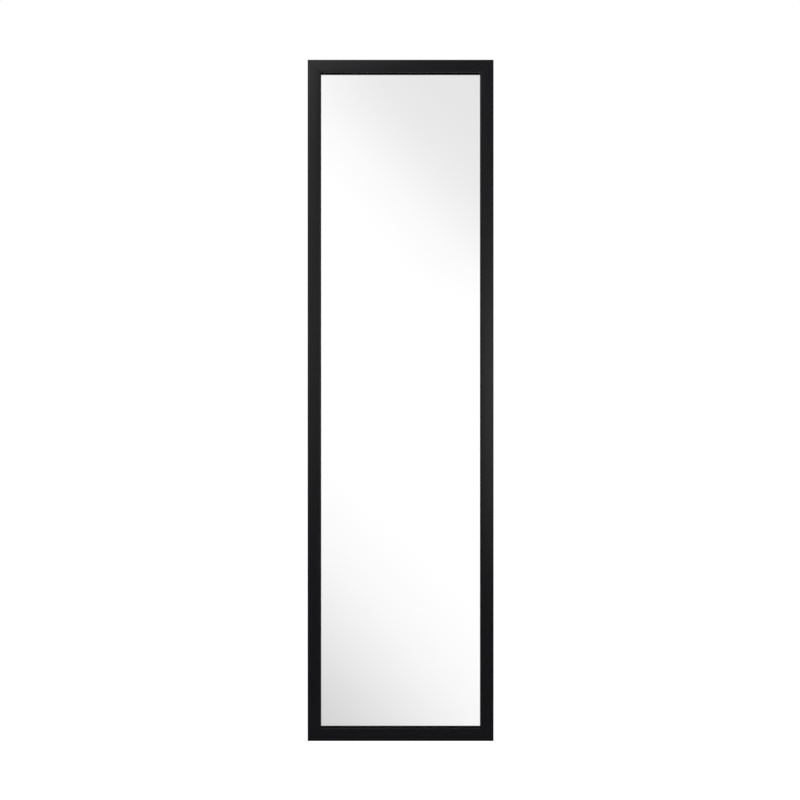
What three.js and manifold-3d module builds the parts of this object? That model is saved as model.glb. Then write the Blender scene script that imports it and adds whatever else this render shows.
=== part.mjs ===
// Pull-out closet mirror: a framed dress mirror on a telescopic ball-bearing slide with a swivel.
// Millimetres, +Z up. The closet's side panel is the plane Y = 0 and the mirror faces -Y.
// The slide pulls out along +X, and the mirror then swings about an upright pivot at its leading edge.
import * as THREE from 'three';
import { mergeVertices } from 'three/addons/utils/BufferGeometryUtils.js';
import Module from 'manifold-3d';

const wasm = await Module();
wasm.setup();

// Overall size of the mirror, frame included
const mirrorWidth = 333;
const mirrorHeight = 1220;

// Clearance between neighbours, the overrun of every cut, and the steps of curved faces
const fit = 0.3;
const overrun = 1;
const arcSteps = 3;
const roundSteps = 12;

// Frame extrusion, as a section across one side, from the outer edge inwards and from front to back
const frameDepth = 20;
const faceWidth = 23.4;
const flatBand = 13.4;
const slopeDrop = 0.9;
const outerArris = 1.6;
const innerArris = 0.9;
const backArris = 0.6;
const lipDepth = 5;
const lipWall = 1.8;
const frameWall = 1.6;
const chamberWidth = 11;
const ribWall = 1.4;
const returnLip = 3;

// Corner keys and the grub screws that lock them
const keyLeg = 46;
const keyTipChamfer = 2;
const keyScrewInset = 30;
const keyScrewRadius = 2.5;
const keyScrewLength = 8;
const keyScrewSocket = 1.4;
const keyScrewSocketDepth = 2.5;
const keyPocketWall = 1.6;
const keyPocketDepth = 10;

// Pane, gasket, backing board and the spring clips behind it
const paneThickness = 4;
const paneInset = 12.5;
const paneArris = 0.5;
const gasketWidth = 8;
const boardThickness = 3;
const boardCorner = 3;
const clipThickness = 0.8;
const clipWidth = 16;
const clipReach = 24;
const clipToe = 5;
const clipSpacing = 330;

// Hinge plate across the mirror's back, its folded edges and its pivot ears
const hingePlateThickness = 2;
const hingePlateMargin = 14;
const hingePlateEdgeInset = 2.5;
const hingePlateCorner = 6;
const hingeFlangeDepth = 5;
const hingeFlangeInset = 2.5;
const stopLugReach = 13.5;
const stopLugWidth = 5;
const beadWidth = 12;
const beadRise = 1.5;
const beadMargin = 36.5;
const beadPlaceShare = 0.45;
const plateScrewRadius = 2.35;
const plateScrewLength = 9;
const plateScrewInset = 8;
const nutStripEnd = 10;
const nutStripThickness = 6;

// Pan heads, shared by the plate screws and the bracket screws
const panHeadRadius = 4.5;
const panHeadHeight = 2.6;
const panHeadCrown = 1.1;

// Upright pivots
const pivotInset = 16.5;
const pivotOffset = 3;
const pivotSpread = 86;
const earRadius = 8.5;
const swingClearance = 0.5;
const pivotRadius = 3;
const pivotHeadRadius = 5.5;
const pivotHeadHeight = 4;
const pivotHeadCrown = 1;
const pivotTail = 1.5;
const bushWall = 1.2;
const bushFlangeRadius = 7.5;
const bushFlangeThickness = 1.4;
const nutRadius = 5.8;
const nutHeight = 5;
const nutCollarRadius = 4.6;
const nutCollarHeight = 1.4;
const discSpringRadius = 5.2;
const discSpringSheet = 0.8;
const discSpringRise = 0.5;
const swingRange = Math.PI / 2;

// Swivel bracket at the front of the slide
const bracketThickness = 2.5;
const bracketEdgeGap = 11;
const bracketPost = 32;
const bracketLeg = 120;
const bracketLegHeight = 32;
const bracketFillet = 14;
const bracketCorner = 5;
const bracketRibDepth = 6;
const bracketScrewRadius = 2.35;
const bracketScrewLength = 6.2;
const bracketScrewInset = 17;
const bracketScrewSpacing = 38;
const bracketScrewCount = 3;
const bracketHoleRadius = 8;

// Buffer that the stowed mirror leans on
const bufferRadius = 7;
const bufferTipRadius = 5;
const bufferBase = 9;
const bufferBaseHeight = 2.5;
const bufferInset = 20;

// Telescopic slide: three roll-formed members and two ball cages
const slideDepth = 12.7;
const slideHalfHeight = 22.75;
const slideSheet = 1.2;
const ballRadius = 2.38;
const ballSteps = 8;
const raceSteps = 5;
const ballCount = 7;
const ballEndInset = 8;
const cageSheet = 0.6;
const cageSetback = 14;
const cageReach = 2;
const cageShoulder = 0.6;
const innerCageShoulder = 1.55;
const cageGap = 0.7;
const cageWindowCount = 3;
const cageWindowShare = 0.6;
const cageWindowMargin = 5;
const memberBend = 1;
const raceEndFront = THREE.MathUtils.degToRad(75);
const middleLipEnd = THREE.MathUtils.degToRad(60);
const middleBendEnd = THREE.MathUtils.degToRad(185);
const innerBendEnd = THREE.MathUtils.degToRad(165);
const innerLipEnd = THREE.MathUtils.degToRad(230);
const stopLength = 4;
const stopGap = 1;
const stopInset = 9.75;
const stopCorner = 3;
const middleSetback = 3;
const accessHoleRadius = 6;
const accessHoleInset = 60;
const memberSlotRadius = 2.2;
const memberSlotHalfHeight = 5;

// Mounting plate on the closet's side panel, and the rivets that hold the slide to it
const mountPlateThickness = 2.5;
const mountPlateSetback = 2;
const mountPlateMargin = 33.25;
const mountPlateCorner = 8;
const mountFlangeDepth = 5;
const mountFlangeInset = 10;
const mountSlotRadius = 3;
const mountSlotLength = 6;
const mountHoleInsetX = 22;
const mountHoleInsetZ = 16;
const rivetRadius = 2.5;
const rivetHeadRadius = 3.9;
const rivetHeadDepth = 1;
const rivetCount = 3;
const rivetRearInset = 27.5;
const rivetFrontInset = 42.5;

// Places from the closet's side panel forward, along -Y
const slideBack = -(mountPlateThickness + fit);
const slideFront = slideBack - slideDepth;
const bracketBack = slideFront - fit;
const bracketFront = bracketBack - bracketThickness;
const pivotY = bracketFront - pivotOffset;
const hingePlateBack = pivotY - earRadius - swingClearance;
const hingePlateFront = hingePlateBack - hingePlateThickness;
const frameBack = hingePlateFront - fit;
const frameFront = frameBack - frameDepth;

// Places within the frame, from its front face backwards
const chamberFront = slopeDrop + frameWall / 2;
const flangeBack = slopeDrop + frameWall;
const backWallFront = frameDepth - frameWall;
const paneFront = lipDepth + fit;
const boardFront = paneFront + paneThickness + fit;
const boardBack = boardFront + boardThickness;
const chamberInside = chamberWidth - ribWall - frameWall;
const chamberMiddle = frameWall + chamberInside / 2;
const keyWidth = chamberInside - 2 * fit;

// Places along the slide, which ends under the pivot, and of its two ball rows, up from its middle
// and forward from its back
const pivotX = mirrorWidth / 2 - pivotInset;
const slideEnd = pivotX;
const cageLength = slideEnd - cageSetback;
const memberRear = -slideEnd + stopLength + stopGap;
const raceRadius = ballRadius + fit + slideSheet / 2;
const outerRow = new THREE.Vector2(
  slideHalfHeight - slideSheet / 2 - raceRadius,
  slideSheet / 2 + raceRadius,
);
const innerRowDepth = slideDepth - slideSheet / 2 - raceRadius;
const rowStep = Math.sqrt(4 * raceRadius ** 2 - (innerRowDepth - outerRow.y) ** 2);
const innerRow = new THREE.Vector2(outerRow.x - rowStep, innerRowDepth);
const middleWeb = slideSheet + 2 * fit + cageSheet + slideSheet / 2;
const innerWeb = slideDepth - slideSheet / 2;
const accessHolePlace = slideEnd - accessHoleInset;

// Places beside the pivot, and of the plates at both ends of the mechanism
const bracketEdge = pivotX - bracketEdgeGap;
const bracketRear = bracketEdge - bracketLeg;
const bracketTop = pivotSpread + bracketThickness;
const hingeEarTop = pivotSpread - 2 * fit - bushFlangeThickness;
const hingeEarBottom = hingeEarTop - hingePlateThickness;
const hingePlateHalfWidth = mirrorWidth / 2 - hingePlateEdgeInset;
const hingePlateHalfHeight = pivotSpread + hingePlateMargin;
const plateScrewPlace = hingePlateHalfHeight - plateScrewInset;
const plateScrewPlaces = [-plateScrewPlace, 0, plateScrewPlace];
const plateScrewX = mirrorWidth / 2 - chamberMiddle;
const beadPlace = hingePlateHalfHeight * beadPlaceShare;
const beadHalfLength = pivotX - earRadius - beadMargin;

// The stop lug's direction from the pivot at rest: after the full swing its side meets the bracket's edge
const stopEdge = new THREE.Vector2(bracketEdge - pivotX, bracketBack - pivotY);
const stopLugLag = Math.asin((stopLugWidth / 2 + fit) / stopEdge.length());
const stopLugLean = stopEdge.angle() - stopLugLag - swingRange;

// Places of the mounting plate's edges and of its slots
const mountPlateHalfWidth = slideEnd - mountPlateSetback;
const mountPlateHalfHeight = slideHalfHeight + mountPlateMargin;
const mountHoleX = mountPlateHalfWidth - mountHoleInsetX;
const mountHoleZ = mountPlateHalfHeight - mountHoleInsetZ;

const finish = {
  blackFrame: new THREE.MeshStandardMaterial({ color: 0x28262a, roughness: 0.42, metalness: 0.35 }),
  mirror: new THREE.MeshStandardMaterial({ color: 0xf2f4f5, roughness: 0.02, metalness: 1 }),
  foam: new THREE.MeshStandardMaterial({ color: 0x1c1c1d, roughness: 0.95, metalness: 0 }),
  board: new THREE.MeshStandardMaterial({ color: 0x2a2725, roughness: 0.85, metalness: 0 }),
  spring: new THREE.MeshStandardMaterial({ color: 0x9a9da1, roughness: 0.35, metalness: 1 }),
  zinc: new THREE.MeshStandardMaterial({ color: 0xa9adb2, roughness: 0.38, metalness: 1 }),
  blackSteel: new THREE.MeshStandardMaterial({ color: 0x232325, roughness: 0.55, metalness: 0.3 }),
  castZinc: new THREE.MeshStandardMaterial({ color: 0x8d9094, roughness: 0.5, metalness: 0.9 }),
  bearing: new THREE.MeshStandardMaterial({ color: 0xc9ccd0, roughness: 0.18, metalness: 1 }),
  nylon: new THREE.MeshStandardMaterial({ color: 0xd9d8d0, roughness: 0.6, metalness: 0 }),
  rubber: new THREE.MeshStandardMaterial({ color: 0x1a1a1b, roughness: 0.9, metalness: 0 }),
};

// Joins shared corners and drops slivers, so that a geometry can become a solid
function weld(geometry) {
  const bare = geometry.clone();
  bare.deleteAttribute('normal');
  bare.deleteAttribute('uv');
  const merged = mergeVertices(bare);
  const corners = merged.index.array;
  const kept = [];
  for (let i = 0; i < corners.length; i += 3) {
    const [a, b, c] = corners.slice(i, i + 3);
    if (a !== b && b !== c && c !== a) kept.push(a, b, c);
  }
  merged.setIndex(kept);
  return merged;
}

function solid(geometry) {
  const welded = weld(geometry);
  return new wasm.Manifold(new wasm.Mesh({
    numProp: 3,
    vertProperties: new Float32Array(welded.attributes.position.array),
    triVerts: new Uint32Array(welded.index.array),
  }));
}

function geometryOf(shape) {
  const mesh = shape.getMesh();
  const geometry = new THREE.BufferGeometry();
  geometry.setAttribute('position', new THREE.BufferAttribute(new Float32Array(mesh.vertProperties), 3));
  geometry.setIndex(new THREE.BufferAttribute(new Uint32Array(mesh.triVerts), 1));
  return geometry;
}

function cut(geometry, tools) {
  return geometryOf(tools.reduce((rest, tool) => rest.subtract(solid(tool)), solid(geometry)));
}

function join(geometries) {
  return geometryOf(geometries.map(solid).reduce((whole, piece) => whole.add(piece)));
}

function piece(name, geometry, material) {
  const mesh = new THREE.Mesh(geometry, material);
  mesh.name = name;
  return mesh;
}

// A closed outline through corners given as [x, y, radius], each corner rounded by its radius
function roundedOutline(corners) {
  const shape = new THREE.Shape();
  corners.forEach(([x, y, radius], i) => {
    const corner = new THREE.Vector2(x, y);
    const [px, py] = corners[(i + corners.length - 1) % corners.length];
    const [nx, ny] = corners[(i + 1) % corners.length];
    const back = new THREE.Vector2(px, py).sub(corner).normalize();
    const on = new THREE.Vector2(nx, ny).sub(corner).normalize();
    const half = Math.acos(THREE.MathUtils.clamp(back.dot(on), -1, 1)) / 2;
    const reach = radius / Math.tan(half);
    const start = corner.clone().addScaledVector(back, reach);
    const end = corner.clone().addScaledVector(on, reach);
    const inwards = back.clone().add(on).normalize();
    const centre = corner.clone().addScaledVector(inwards, radius / Math.sin(half));
    if (i === 0) shape.moveTo(start.x, start.y);
    else shape.lineTo(start.x, start.y);
    if (radius > 0) {
      const from = start.sub(centre).angle();
      const to = end.sub(centre).angle();
      shape.absarc(centre.x, centre.y, radius, from, to, back.cross(on) > 0);
    }
  });
  return shape;
}

function rectangle(lowX, lowY, highX, highY, radius) {
  return roundedOutline([
    [lowX, lowY, radius],
    [highX, lowY, radius],
    [highX, highY, radius],
    [lowX, highY, radius],
  ]);
}

// A flat piece whose outline lies in X and Z, from the plane Y = back forward to -Y
function sheetFacingY(outline, back, thickness) {
  const geometry = new THREE.ExtrudeGeometry(outline, {
    depth: thickness,
    bevelEnabled: false,
    curveSegments: arcSteps,
  });
  return geometry.rotateX(Math.PI / 2).translate(0, back, 0);
}

// A flat piece whose outline lies in X and Y, from the plane Z = bottom upwards
function sheetFacingZ(outline, bottom, thickness) {
  const geometry = new THREE.ExtrudeGeometry(outline, {
    depth: thickness,
    bevelEnabled: false,
    curveSegments: arcSteps,
  });
  return geometry.translate(0, 0, bottom);
}

// A round cutter along Y, through a wall between two planes
function drillAlongY(x, z, radius, back, front) {
  const length = back - front + 2 * overrun;
  const drill = new THREE.CylinderGeometry(radius, radius, length, roundSteps);
  return drill.translate(x, (back + front) / 2, z);
}

// A round cutter along Z, through a wall between two planes
function drillAlongZ(x, y, radius, bottom, top) {
  const length = top - bottom + 2 * overrun;
  const drill = new THREE.CylinderGeometry(radius, radius, length, roundSteps);
  return drill.rotateX(Math.PI / 2).translate(x, y, (bottom + top) / 2);
}

function turned(profile) {
  return new THREE.LatheGeometry(profile.map(([r, y]) => new THREE.Vector2(r, y)), roundSteps);
}

// Sheet metal bent along a centre line, as a closed outline of even thickness
function bentSheet(centreLine, thickness) {
  const offsetPoint = (i, side) => {
    const here = centreLine[i];
    const before = centreLine[Math.max(i - 1, 0)];
    const after = centreLine[Math.min(i + 1, centreLine.length - 1)];
    const come = here.clone().sub(before).normalize();
    const go = after.clone().sub(here).normalize();
    if (i === 0) come.copy(go);
    if (i === centreLine.length - 1) go.copy(come);
    const normal = new THREE.Vector2(-come.y - go.y, come.x + go.x).normalize();
    const spread = 1 / normal.dot(new THREE.Vector2(-come.y, come.x));
    return here.clone().addScaledVector(normal, (side * spread * thickness) / 2);
  };
  const left = centreLine.map((point, i) => offsetPoint(i, 1));
  const right = centreLine.map((point, i) => offsetPoint(i, -1));
  return new THREE.Shape([...left, ...right.reverse()]);
}

function arcPoints(centre, radius, from, to, steps) {
  const points = [];
  for (let i = 0; i <= steps; i += 1) {
    const angle = from + ((to - from) * i) / steps;
    const arm = new THREE.Vector2(Math.cos(angle), Math.sin(angle));
    points.push(centre.clone().addScaledVector(arm, radius));
  }
  return points;
}

// The upper half of a member's centre line, mirrored below its middle
function mirroredLine(upperHalf) {
  const lowerHalf = upperHalf.map((point) => new THREE.Vector2(-point.x, point.y)).reverse();
  return [...lowerHalf, ...upperHalf];
}

// A section given up from the slide's middle and forward from its back, run along X
function runAlongSlide(outline, from, to) {
  const geometry = new THREE.ExtrudeGeometry(outline, {
    depth: to - from,
    bevelEnabled: false,
    curveSegments: arcSteps,
  });
  const stand = new THREE.Matrix4().set(0, 0, 1, from, 0, -1, 0, slideBack, 1, 0, 0, 0, 0, 0, 0, 1);
  return geometry.applyMatrix4(stand);
}

// Frame: four mitred lengths of one extrusion, with a chamber for the corner keys
function frameSection() {
  const shape = new THREE.Shape();
  shape.moveTo(outerArris, 0);
  shape.lineTo(flatBand, 0);
  shape.lineTo(faceWidth - innerArris, slopeDrop);
  shape.absarc(faceWidth - innerArris, slopeDrop + innerArris, innerArris, -Math.PI / 2, 0, false);
  shape.lineTo(faceWidth, lipDepth);
  shape.lineTo(faceWidth - lipWall, lipDepth);
  shape.lineTo(faceWidth - lipWall, flangeBack);
  shape.lineTo(chamberWidth, flangeBack);
  shape.lineTo(chamberWidth, backWallFront);
  shape.lineTo(chamberWidth + returnLip, backWallFront);
  shape.lineTo(chamberWidth + returnLip, frameDepth);
  shape.lineTo(backArris, frameDepth);
  shape.lineTo(0, frameDepth - backArris);
  shape.lineTo(0, outerArris);
  shape.absarc(outerArris, outerArris, outerArris, Math.PI, (3 * Math.PI) / 2, false);
  shape.holes.push(rectangle(frameWall, chamberFront, chamberWidth - ribWall, backWallFront, 0));
  return shape;
}

// A bar with both ends cut at 45 degrees: each end draws in by the distance from the outer edge
function mitredBar(outline, length) {
  const geometry = new THREE.ExtrudeGeometry(outline, {
    depth: 1,
    bevelEnabled: false,
    curveSegments: arcSteps,
  });
  const corner = geometry.attributes.position;
  for (let i = 0; i < corner.count; i += 1) {
    const half = length / 2 - corner.getX(i) - fit / 2;
    corner.setZ(i, corner.getZ(i) > 0 ? half : -half);
  }
  return geometry;
}

function frameBar(length, screwPlaces) {
  const keyScrewPlace = length / 2 - keyScrewInset;
  const drills = [-keyScrewPlace, keyScrewPlace].map((along) => (
    drillAlongY(chamberMiddle, along, keyScrewRadius + fit, frameDepth, backWallFront)
  ));
  screwPlaces.forEach((along) => {
    drills.push(drillAlongY(chamberMiddle, along, plateScrewRadius + fit, frameDepth, backWallFront));
  });
  return cut(mitredBar(frameSection(), length), drills);
}

// Foam gasket between the frame's front flange and the pane
function gasketSection() {
  const inner = faceWidth - lipWall - fit;
  return rectangle(inner - gasketWidth, flangeBack + fit, inner, paneFront - fit, 0);
}

// Spring clip: hooked under the return lip, bowed down on to the backing board
function springClip() {
  const hook = backWallFront - fit - clipThickness / 2;
  const seat = boardBack + fit + clipThickness / 2;
  const start = chamberWidth + fit;
  const line = [
    new THREE.Vector2(start, hook - clipThickness),
    new THREE.Vector2(start + returnLip, hook),
    new THREE.Vector2(start + clipReach, seat),
    new THREE.Vector2(start + clipReach + clipToe / 2, seat),
    new THREE.Vector2(start + clipReach + clipToe, seat + clipThickness),
  ];
  const outline = bentSheet(line, clipThickness);
  return new THREE.ExtrudeGeometry(outline, { depth: clipWidth, bevelEnabled: false });
}

// Corner key: an angle whose two legs fill the chambers that meet at a mitre, each leg cast with a pocket
function cornerKey() {
  const near = frameWall + fit;
  const far = near + keyWidth;
  const outline = roundedOutline([
    [near, -near, 0],
    [keyLeg - keyTipChamfer, -near, 0],
    [keyLeg, -near - keyTipChamfer, 0],
    [keyLeg, -far + keyTipChamfer, 0],
    [keyLeg - keyTipChamfer, -far, 0],
    [far, -far, 0],
    [far, -keyLeg + keyTipChamfer, 0],
    [far - keyTipChamfer, -keyLeg, 0],
    [near + keyTipChamfer, -keyLeg, 0],
    [near, -keyLeg + keyTipChamfer, 0],
  ]);
  const back = backWallFront - fit;
  const key = sheetFacingY(outline, back, back - chamberFront - fit);
  const bore = keyScrewRadius + fit;
  const bottom = frameDepth - keyScrewLength - fit;
  const pocketStart = far + keyPocketWall;
  const pocketEnd = keyScrewInset - bore - keyPocketWall;
  const pocketNear = near + keyPocketWall;
  const pocketFar = far - keyPocketWall;
  const pocketBack = chamberFront + fit + keyPocketDepth;
  const pocketLength = keyPocketDepth + overrun;
  const across = rectangle(pocketStart, -pocketFar, pocketEnd, -pocketNear, 0);
  const down = rectangle(pocketNear, -pocketEnd, pocketFar, -pocketStart, 0);
  return cut(key, [
    drillAlongY(keyScrewInset, -chamberMiddle, bore, frameDepth, bottom + overrun),
    drillAlongY(chamberMiddle, -keyScrewInset, bore, frameDepth, bottom + overrun),
    sheetFacingY(across, pocketBack, pocketLength),
    sheetFacingY(down, pocketBack, pocketLength),
  ]);
}

// Grub screw with a socket, sunk flush in the frame's back wall
function grubScrew() {
  return turned([
    [0, -keyScrewLength],
    [keyScrewRadius, -keyScrewLength],
    [keyScrewRadius, -fit],
    [keyScrewSocket, -fit],
    [keyScrewSocket, -fit - keyScrewSocketDepth],
    [0, -fit - keyScrewSocketDepth],
  ]);
}

// Pan-head screw along Y, its head towards +Y and the underside of its head at Y = 0
function panScrew(shankRadius, length) {
  return turned([
    [0, -length],
    [shankRadius, -length],
    [shankRadius, 0],
    [panHeadRadius, 0],
    [panHeadRadius, panHeadHeight - panHeadCrown],
    [panHeadRadius - panHeadCrown, panHeadHeight],
    [0, panHeadHeight],
  ]);
}

function mirrorPane() {
  const halfWidth = mirrorWidth / 2 - paneInset - paneArris;
  const halfHeight = mirrorHeight / 2 - paneInset - paneArris;
  const outline = rectangle(-halfWidth, -halfHeight, halfWidth, halfHeight, 0);
  const geometry = new THREE.ExtrudeGeometry(outline, {
    depth: paneThickness - 2 * paneArris,
    bevelEnabled: true,
    bevelThickness: paneArris,
    bevelSize: paneArris,
    bevelSegments: 1,
  });
  const front = frameFront + paneFront;
  return geometry.rotateX(Math.PI / 2).translate(0, front + paneThickness - paneArris, 0);
}

function backingBoard() {
  const halfWidth = mirrorWidth / 2 - paneInset;
  const halfHeight = mirrorHeight / 2 - paneInset;
  const outline = rectangle(-halfWidth, -halfHeight, halfWidth, halfHeight, boardCorner);
  return sheetFacingY(outline, frameFront + boardBack, boardThickness);
}

// Nut strip: a tapped bar in a stile's chamber, behind the hinge plate's screws
function nutStrip() {
  const width = keyWidth / 2;
  const back = backWallFront - fit;
  const end = plateScrewPlace + nutStripEnd;
  const outline = rectangle(chamberMiddle - width, -end, chamberMiddle + width, end, 0);
  const strip = sheetFacingY(outline, back, nutStripThickness);
  const bores = plateScrewPlaces.map((along) => (
    drillAlongY(chamberMiddle, along, plateScrewRadius + fit, back, back - nutStripThickness)
  ));
  return cut(strip, bores);
}

// An ear and its stop lug as a flat blank of the hinge plate, Y up from its root and Z through its sheet
function hingeEarBlank(root, thickness) {
  const reach = pivotY - hingePlateBack;
  const ear = sheetFacingZ(roundedOutline([
    [-earRadius, -root, 0],
    [earRadius, -root, 0],
    [earRadius, reach + earRadius, earRadius],
    [-earRadius, reach + earRadius, earRadius],
  ]), -thickness / 2, thickness);
  const lugOutline = rectangle(0, -stopLugWidth / 2, stopLugReach, stopLugWidth / 2, 0);
  const lug = sheetFacingZ(lugOutline, -thickness / 2, thickness);
  return join([ear, lug.rotateZ(stopLugLean).translate(0, reach, 0)]);
}

// A bead pressed into the hinge plate: a rounded bar proud of its back, and its hollow in the front
function beadBar(z, wall, back, thickness) {
  const halfLength = beadHalfLength - wall;
  const halfWidth = beadWidth / 2 - wall;
  return sheetFacingY(
    rectangle(-halfLength, z - halfWidth, halfLength, z + halfWidth, halfWidth),
    back,
    thickness,
  );
}

// Hinge plate: screwed to both stiles, with folded edges, beads, and two ears lanced out of it
function hingePlate() {
  const flangeHalfLength = mirrorWidth / 2 - chamberWidth - returnLip - hingeFlangeInset;
  const plateMiddle = (hingePlateBack + hingePlateFront) / 2;
  const parts = [sheetFacingY(
    rectangle(
      -hingePlateHalfWidth, -hingePlateHalfHeight,
      hingePlateHalfWidth, hingePlateHalfHeight, hingePlateCorner,
    ),
    hingePlateBack,
    hingePlateThickness,
  )];
  const cuts = [];
  [-1, 1].forEach((side) => {
    const outer = side * hingePlateHalfHeight;
    const inner = outer - side * hingePlateThickness;
    parts.push(sheetFacingY(
      rectangle(-flangeHalfLength, Math.min(outer, inner), flangeHalfLength, Math.max(outer, inner), 0),
      hingePlateBack,
      hingePlateThickness + hingeFlangeDepth,
    ));
    const bead = side * beadPlace;
    parts.push(beadBar(bead, 0, hingePlateBack + beadRise, beadRise + hingePlateThickness / 2));
    cuts.push(beadBar(bead, hingePlateThickness, hingePlateFront + beadRise, beadRise + overrun));
    const earFloor = side > 0 ? hingeEarBottom : -hingeEarTop;
    const ear = hingeEarBlank(hingePlateThickness / 2, hingePlateThickness);
    parts.push(ear.translate(pivotX, hingePlateBack, earFloor + hingePlateThickness / 2));
    const window = hingeEarBlank(0, hingePlateThickness + 2 * overrun);
    cuts.push(window.rotateX((-side * Math.PI) / 2).translate(pivotX, plateMiddle, side * hingeEarBottom));
    const bore = pivotRadius + fit + bushWall + fit;
    cuts.push(drillAlongZ(pivotX, pivotY, bore, earFloor, earFloor + hingePlateThickness));
  });
  [-plateScrewX, plateScrewX].forEach((x) => {
    plateScrewPlaces.forEach((z) => {
      cuts.push(drillAlongY(x, z, plateScrewRadius + fit, hingePlateBack, hingePlateFront));
    });
  });
  return cut(join(parts), cuts);
}

// Flanged bush of the upper pivot: its flange is the thrust washer between the two ears
function pivotBush() {
  const bore = pivotRadius + fit;
  const outside = bore + bushWall;
  const flangeBottom = hingeEarTop + fit;
  return turned([
    [bore, hingeEarBottom],
    [outside, hingeEarBottom],
    [outside, flangeBottom],
    [bushFlangeRadius, flangeBottom],
    [bushFlangeRadius, flangeBottom + bushFlangeThickness],
    [bore, flangeBottom + bushFlangeThickness],
    [bore, hingeEarBottom],
  ]).rotateX(Math.PI / 2);
}

// Disc spring of the upper pivot, between the bracket's ear and the bolt's head: it holds the mirror by
// its friction
function discSpring() {
  const bore = pivotRadius + fit;
  const rim = bracketTop + fit;
  const crest = rim + discSpringRise;
  return turned([
    [bore, crest],
    [discSpringRadius, rim],
    [discSpringRadius, rim + discSpringSheet],
    [bore, crest + discSpringSheet],
    [bore, crest],
  ]).rotateX(Math.PI / 2);
}

// Shoulder bolt of the upper pivot, with its head over the disc spring
function pivotBolt() {
  const underHead = bracketTop + fit + discSpringRise + discSpringSheet + fit;
  const tip = hingeEarBottom - fit - nutHeight - pivotTail;
  return turned([
    [0, tip],
    [pivotRadius, tip],
    [pivotRadius, underHead],
    [pivotHeadRadius, underHead],
    [pivotHeadRadius, underHead + pivotHeadHeight - pivotHeadCrown],
    [pivotHeadRadius - pivotHeadCrown, underHead + pivotHeadHeight],
    [0, underHead + pivotHeadHeight],
  ]).rotateX(Math.PI / 2);
}

// Lock nut under the hinge plate's ear, its round collar away from the ear
function pivotNut() {
  const top = hingeEarBottom - fit;
  const bottom = top - nutHeight;
  const hexHeight = nutHeight - nutCollarHeight;
  const hexagon = new THREE.CylinderGeometry(nutRadius, nutRadius, hexHeight, 6);
  const collar = new THREE.CylinderGeometry(nutCollarRadius, nutCollarRadius, nutHeight, roundSteps);
  const body = join([
    hexagon.rotateX(Math.PI / 2).translate(0, 0, top - hexHeight / 2),
    collar.rotateX(Math.PI / 2).translate(0, 0, bottom + nutHeight / 2),
  ]);
  return cut(body, [drillAlongZ(0, 0, pivotRadius + fit, bottom, top)]);
}

// Swivel bracket: a T of steel plate on the inner member, with a folded rib and two pivot ears
function swivelBracket() {
  const postRear = bracketEdge - bracketPost;
  const legHalf = bracketLegHeight / 2;
  const plate = sheetFacingY(roundedOutline([
    [bracketRear, -legHalf, bracketCorner],
    [postRear, -legHalf, bracketFillet],
    [postRear, -bracketTop, 0],
    [bracketEdge, -bracketTop, 0],
    [bracketEdge, bracketTop, 0],
    [postRear, bracketTop, 0],
    [postRear, legHalf, bracketFillet],
    [bracketRear, legHalf, bracketCorner],
  ]), bracketBack, bracketThickness);
  const parts = [plate];
  const cuts = [];
  [-1, 1].forEach((side) => {
    const floor = side > 0 ? pivotSpread : -bracketTop;
    const tangent = new THREE.Vector2(postRear - pivotX, bracketFront - pivotY);
    const lean = tangent.angle() + Math.acos(earRadius / tangent.length());
    const ear = new THREE.Shape();
    ear.moveTo(postRear, bracketFront);
    ear.absarc(pivotX, pivotY, earRadius, lean, 2 * Math.PI + Math.PI / 2, false);
    ear.lineTo(bracketEdge, bracketBack);
    ear.lineTo(postRear, bracketBack);
    parts.push(sheetFacingZ(ear, floor, bracketThickness));
    cuts.push(drillAlongZ(pivotX, pivotY, pivotRadius + fit, floor, floor + bracketThickness));
    const ribStart = side * (legHalf + bracketFillet);
    const ribEnd = side * pivotSpread;
    parts.push(sheetFacingY(
      rectangle(
        postRear, Math.min(ribStart, ribEnd),
        postRear + bracketThickness, Math.max(ribStart, ribEnd), 0,
      ),
      bracketBack,
      bracketRibDepth,
    ));
    const holeX = (postRear + bracketEdge) / 2;
    const holeZ = (ribStart + ribEnd) / 2;
    cuts.push(drillAlongY(holeX, holeZ, bracketHoleRadius, bracketBack, bracketFront));
  });
  bracketScrewPlaces().forEach((x) => {
    cuts.push(drillAlongY(x, 0, bracketScrewRadius + fit, bracketBack, bracketFront));
  });
  return cut(join(parts), cuts);
}

function bracketScrewPlaces() {
  const places = [];
  for (let i = 0; i < bracketScrewCount; i += 1) {
    places.push(bracketEdge - bracketScrewInset - i * bracketScrewSpacing);
  }
  return places;
}

// Rubber buffer on the hinge plate, between the stowed mirror and the inner member
function stowBuffer() {
  const root = hingePlateBack + fit;
  const tip = slideFront - fit;
  return turned([
    [0, root],
    [bufferBase, root],
    [bufferBase, root + bufferBaseHeight],
    [bufferRadius, root + bufferBaseHeight],
    [bufferTipRadius, tip],
    [0, tip],
  ]);
}

// Outer member: a channel whose flanges curl round the outer ball rows
function outerMember() {
  const upper = arcPoints(outerRow, raceRadius, -Math.PI / 2, raceEndFront, 2 * raceSteps);
  const channel = runAlongSlide(bentSheet(mirroredLine(upper), slideSheet), -slideEnd, slideEnd);
  const slots = [-accessHolePlace, accessHolePlace].map((x) => sheetFacingY(
    rectangle(
      x - memberSlotRadius, -memberSlotHalfHeight,
      x + memberSlotRadius, memberSlotHalfHeight, memberSlotRadius,
    ),
    slideBack + overrun,
    slideSheet + 2 * overrun,
  ));
  return cut(channel, [...slots, ...rivetPlaces().map((x) => rivet(fit).translate(x, 0, 0))]);
}

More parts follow.
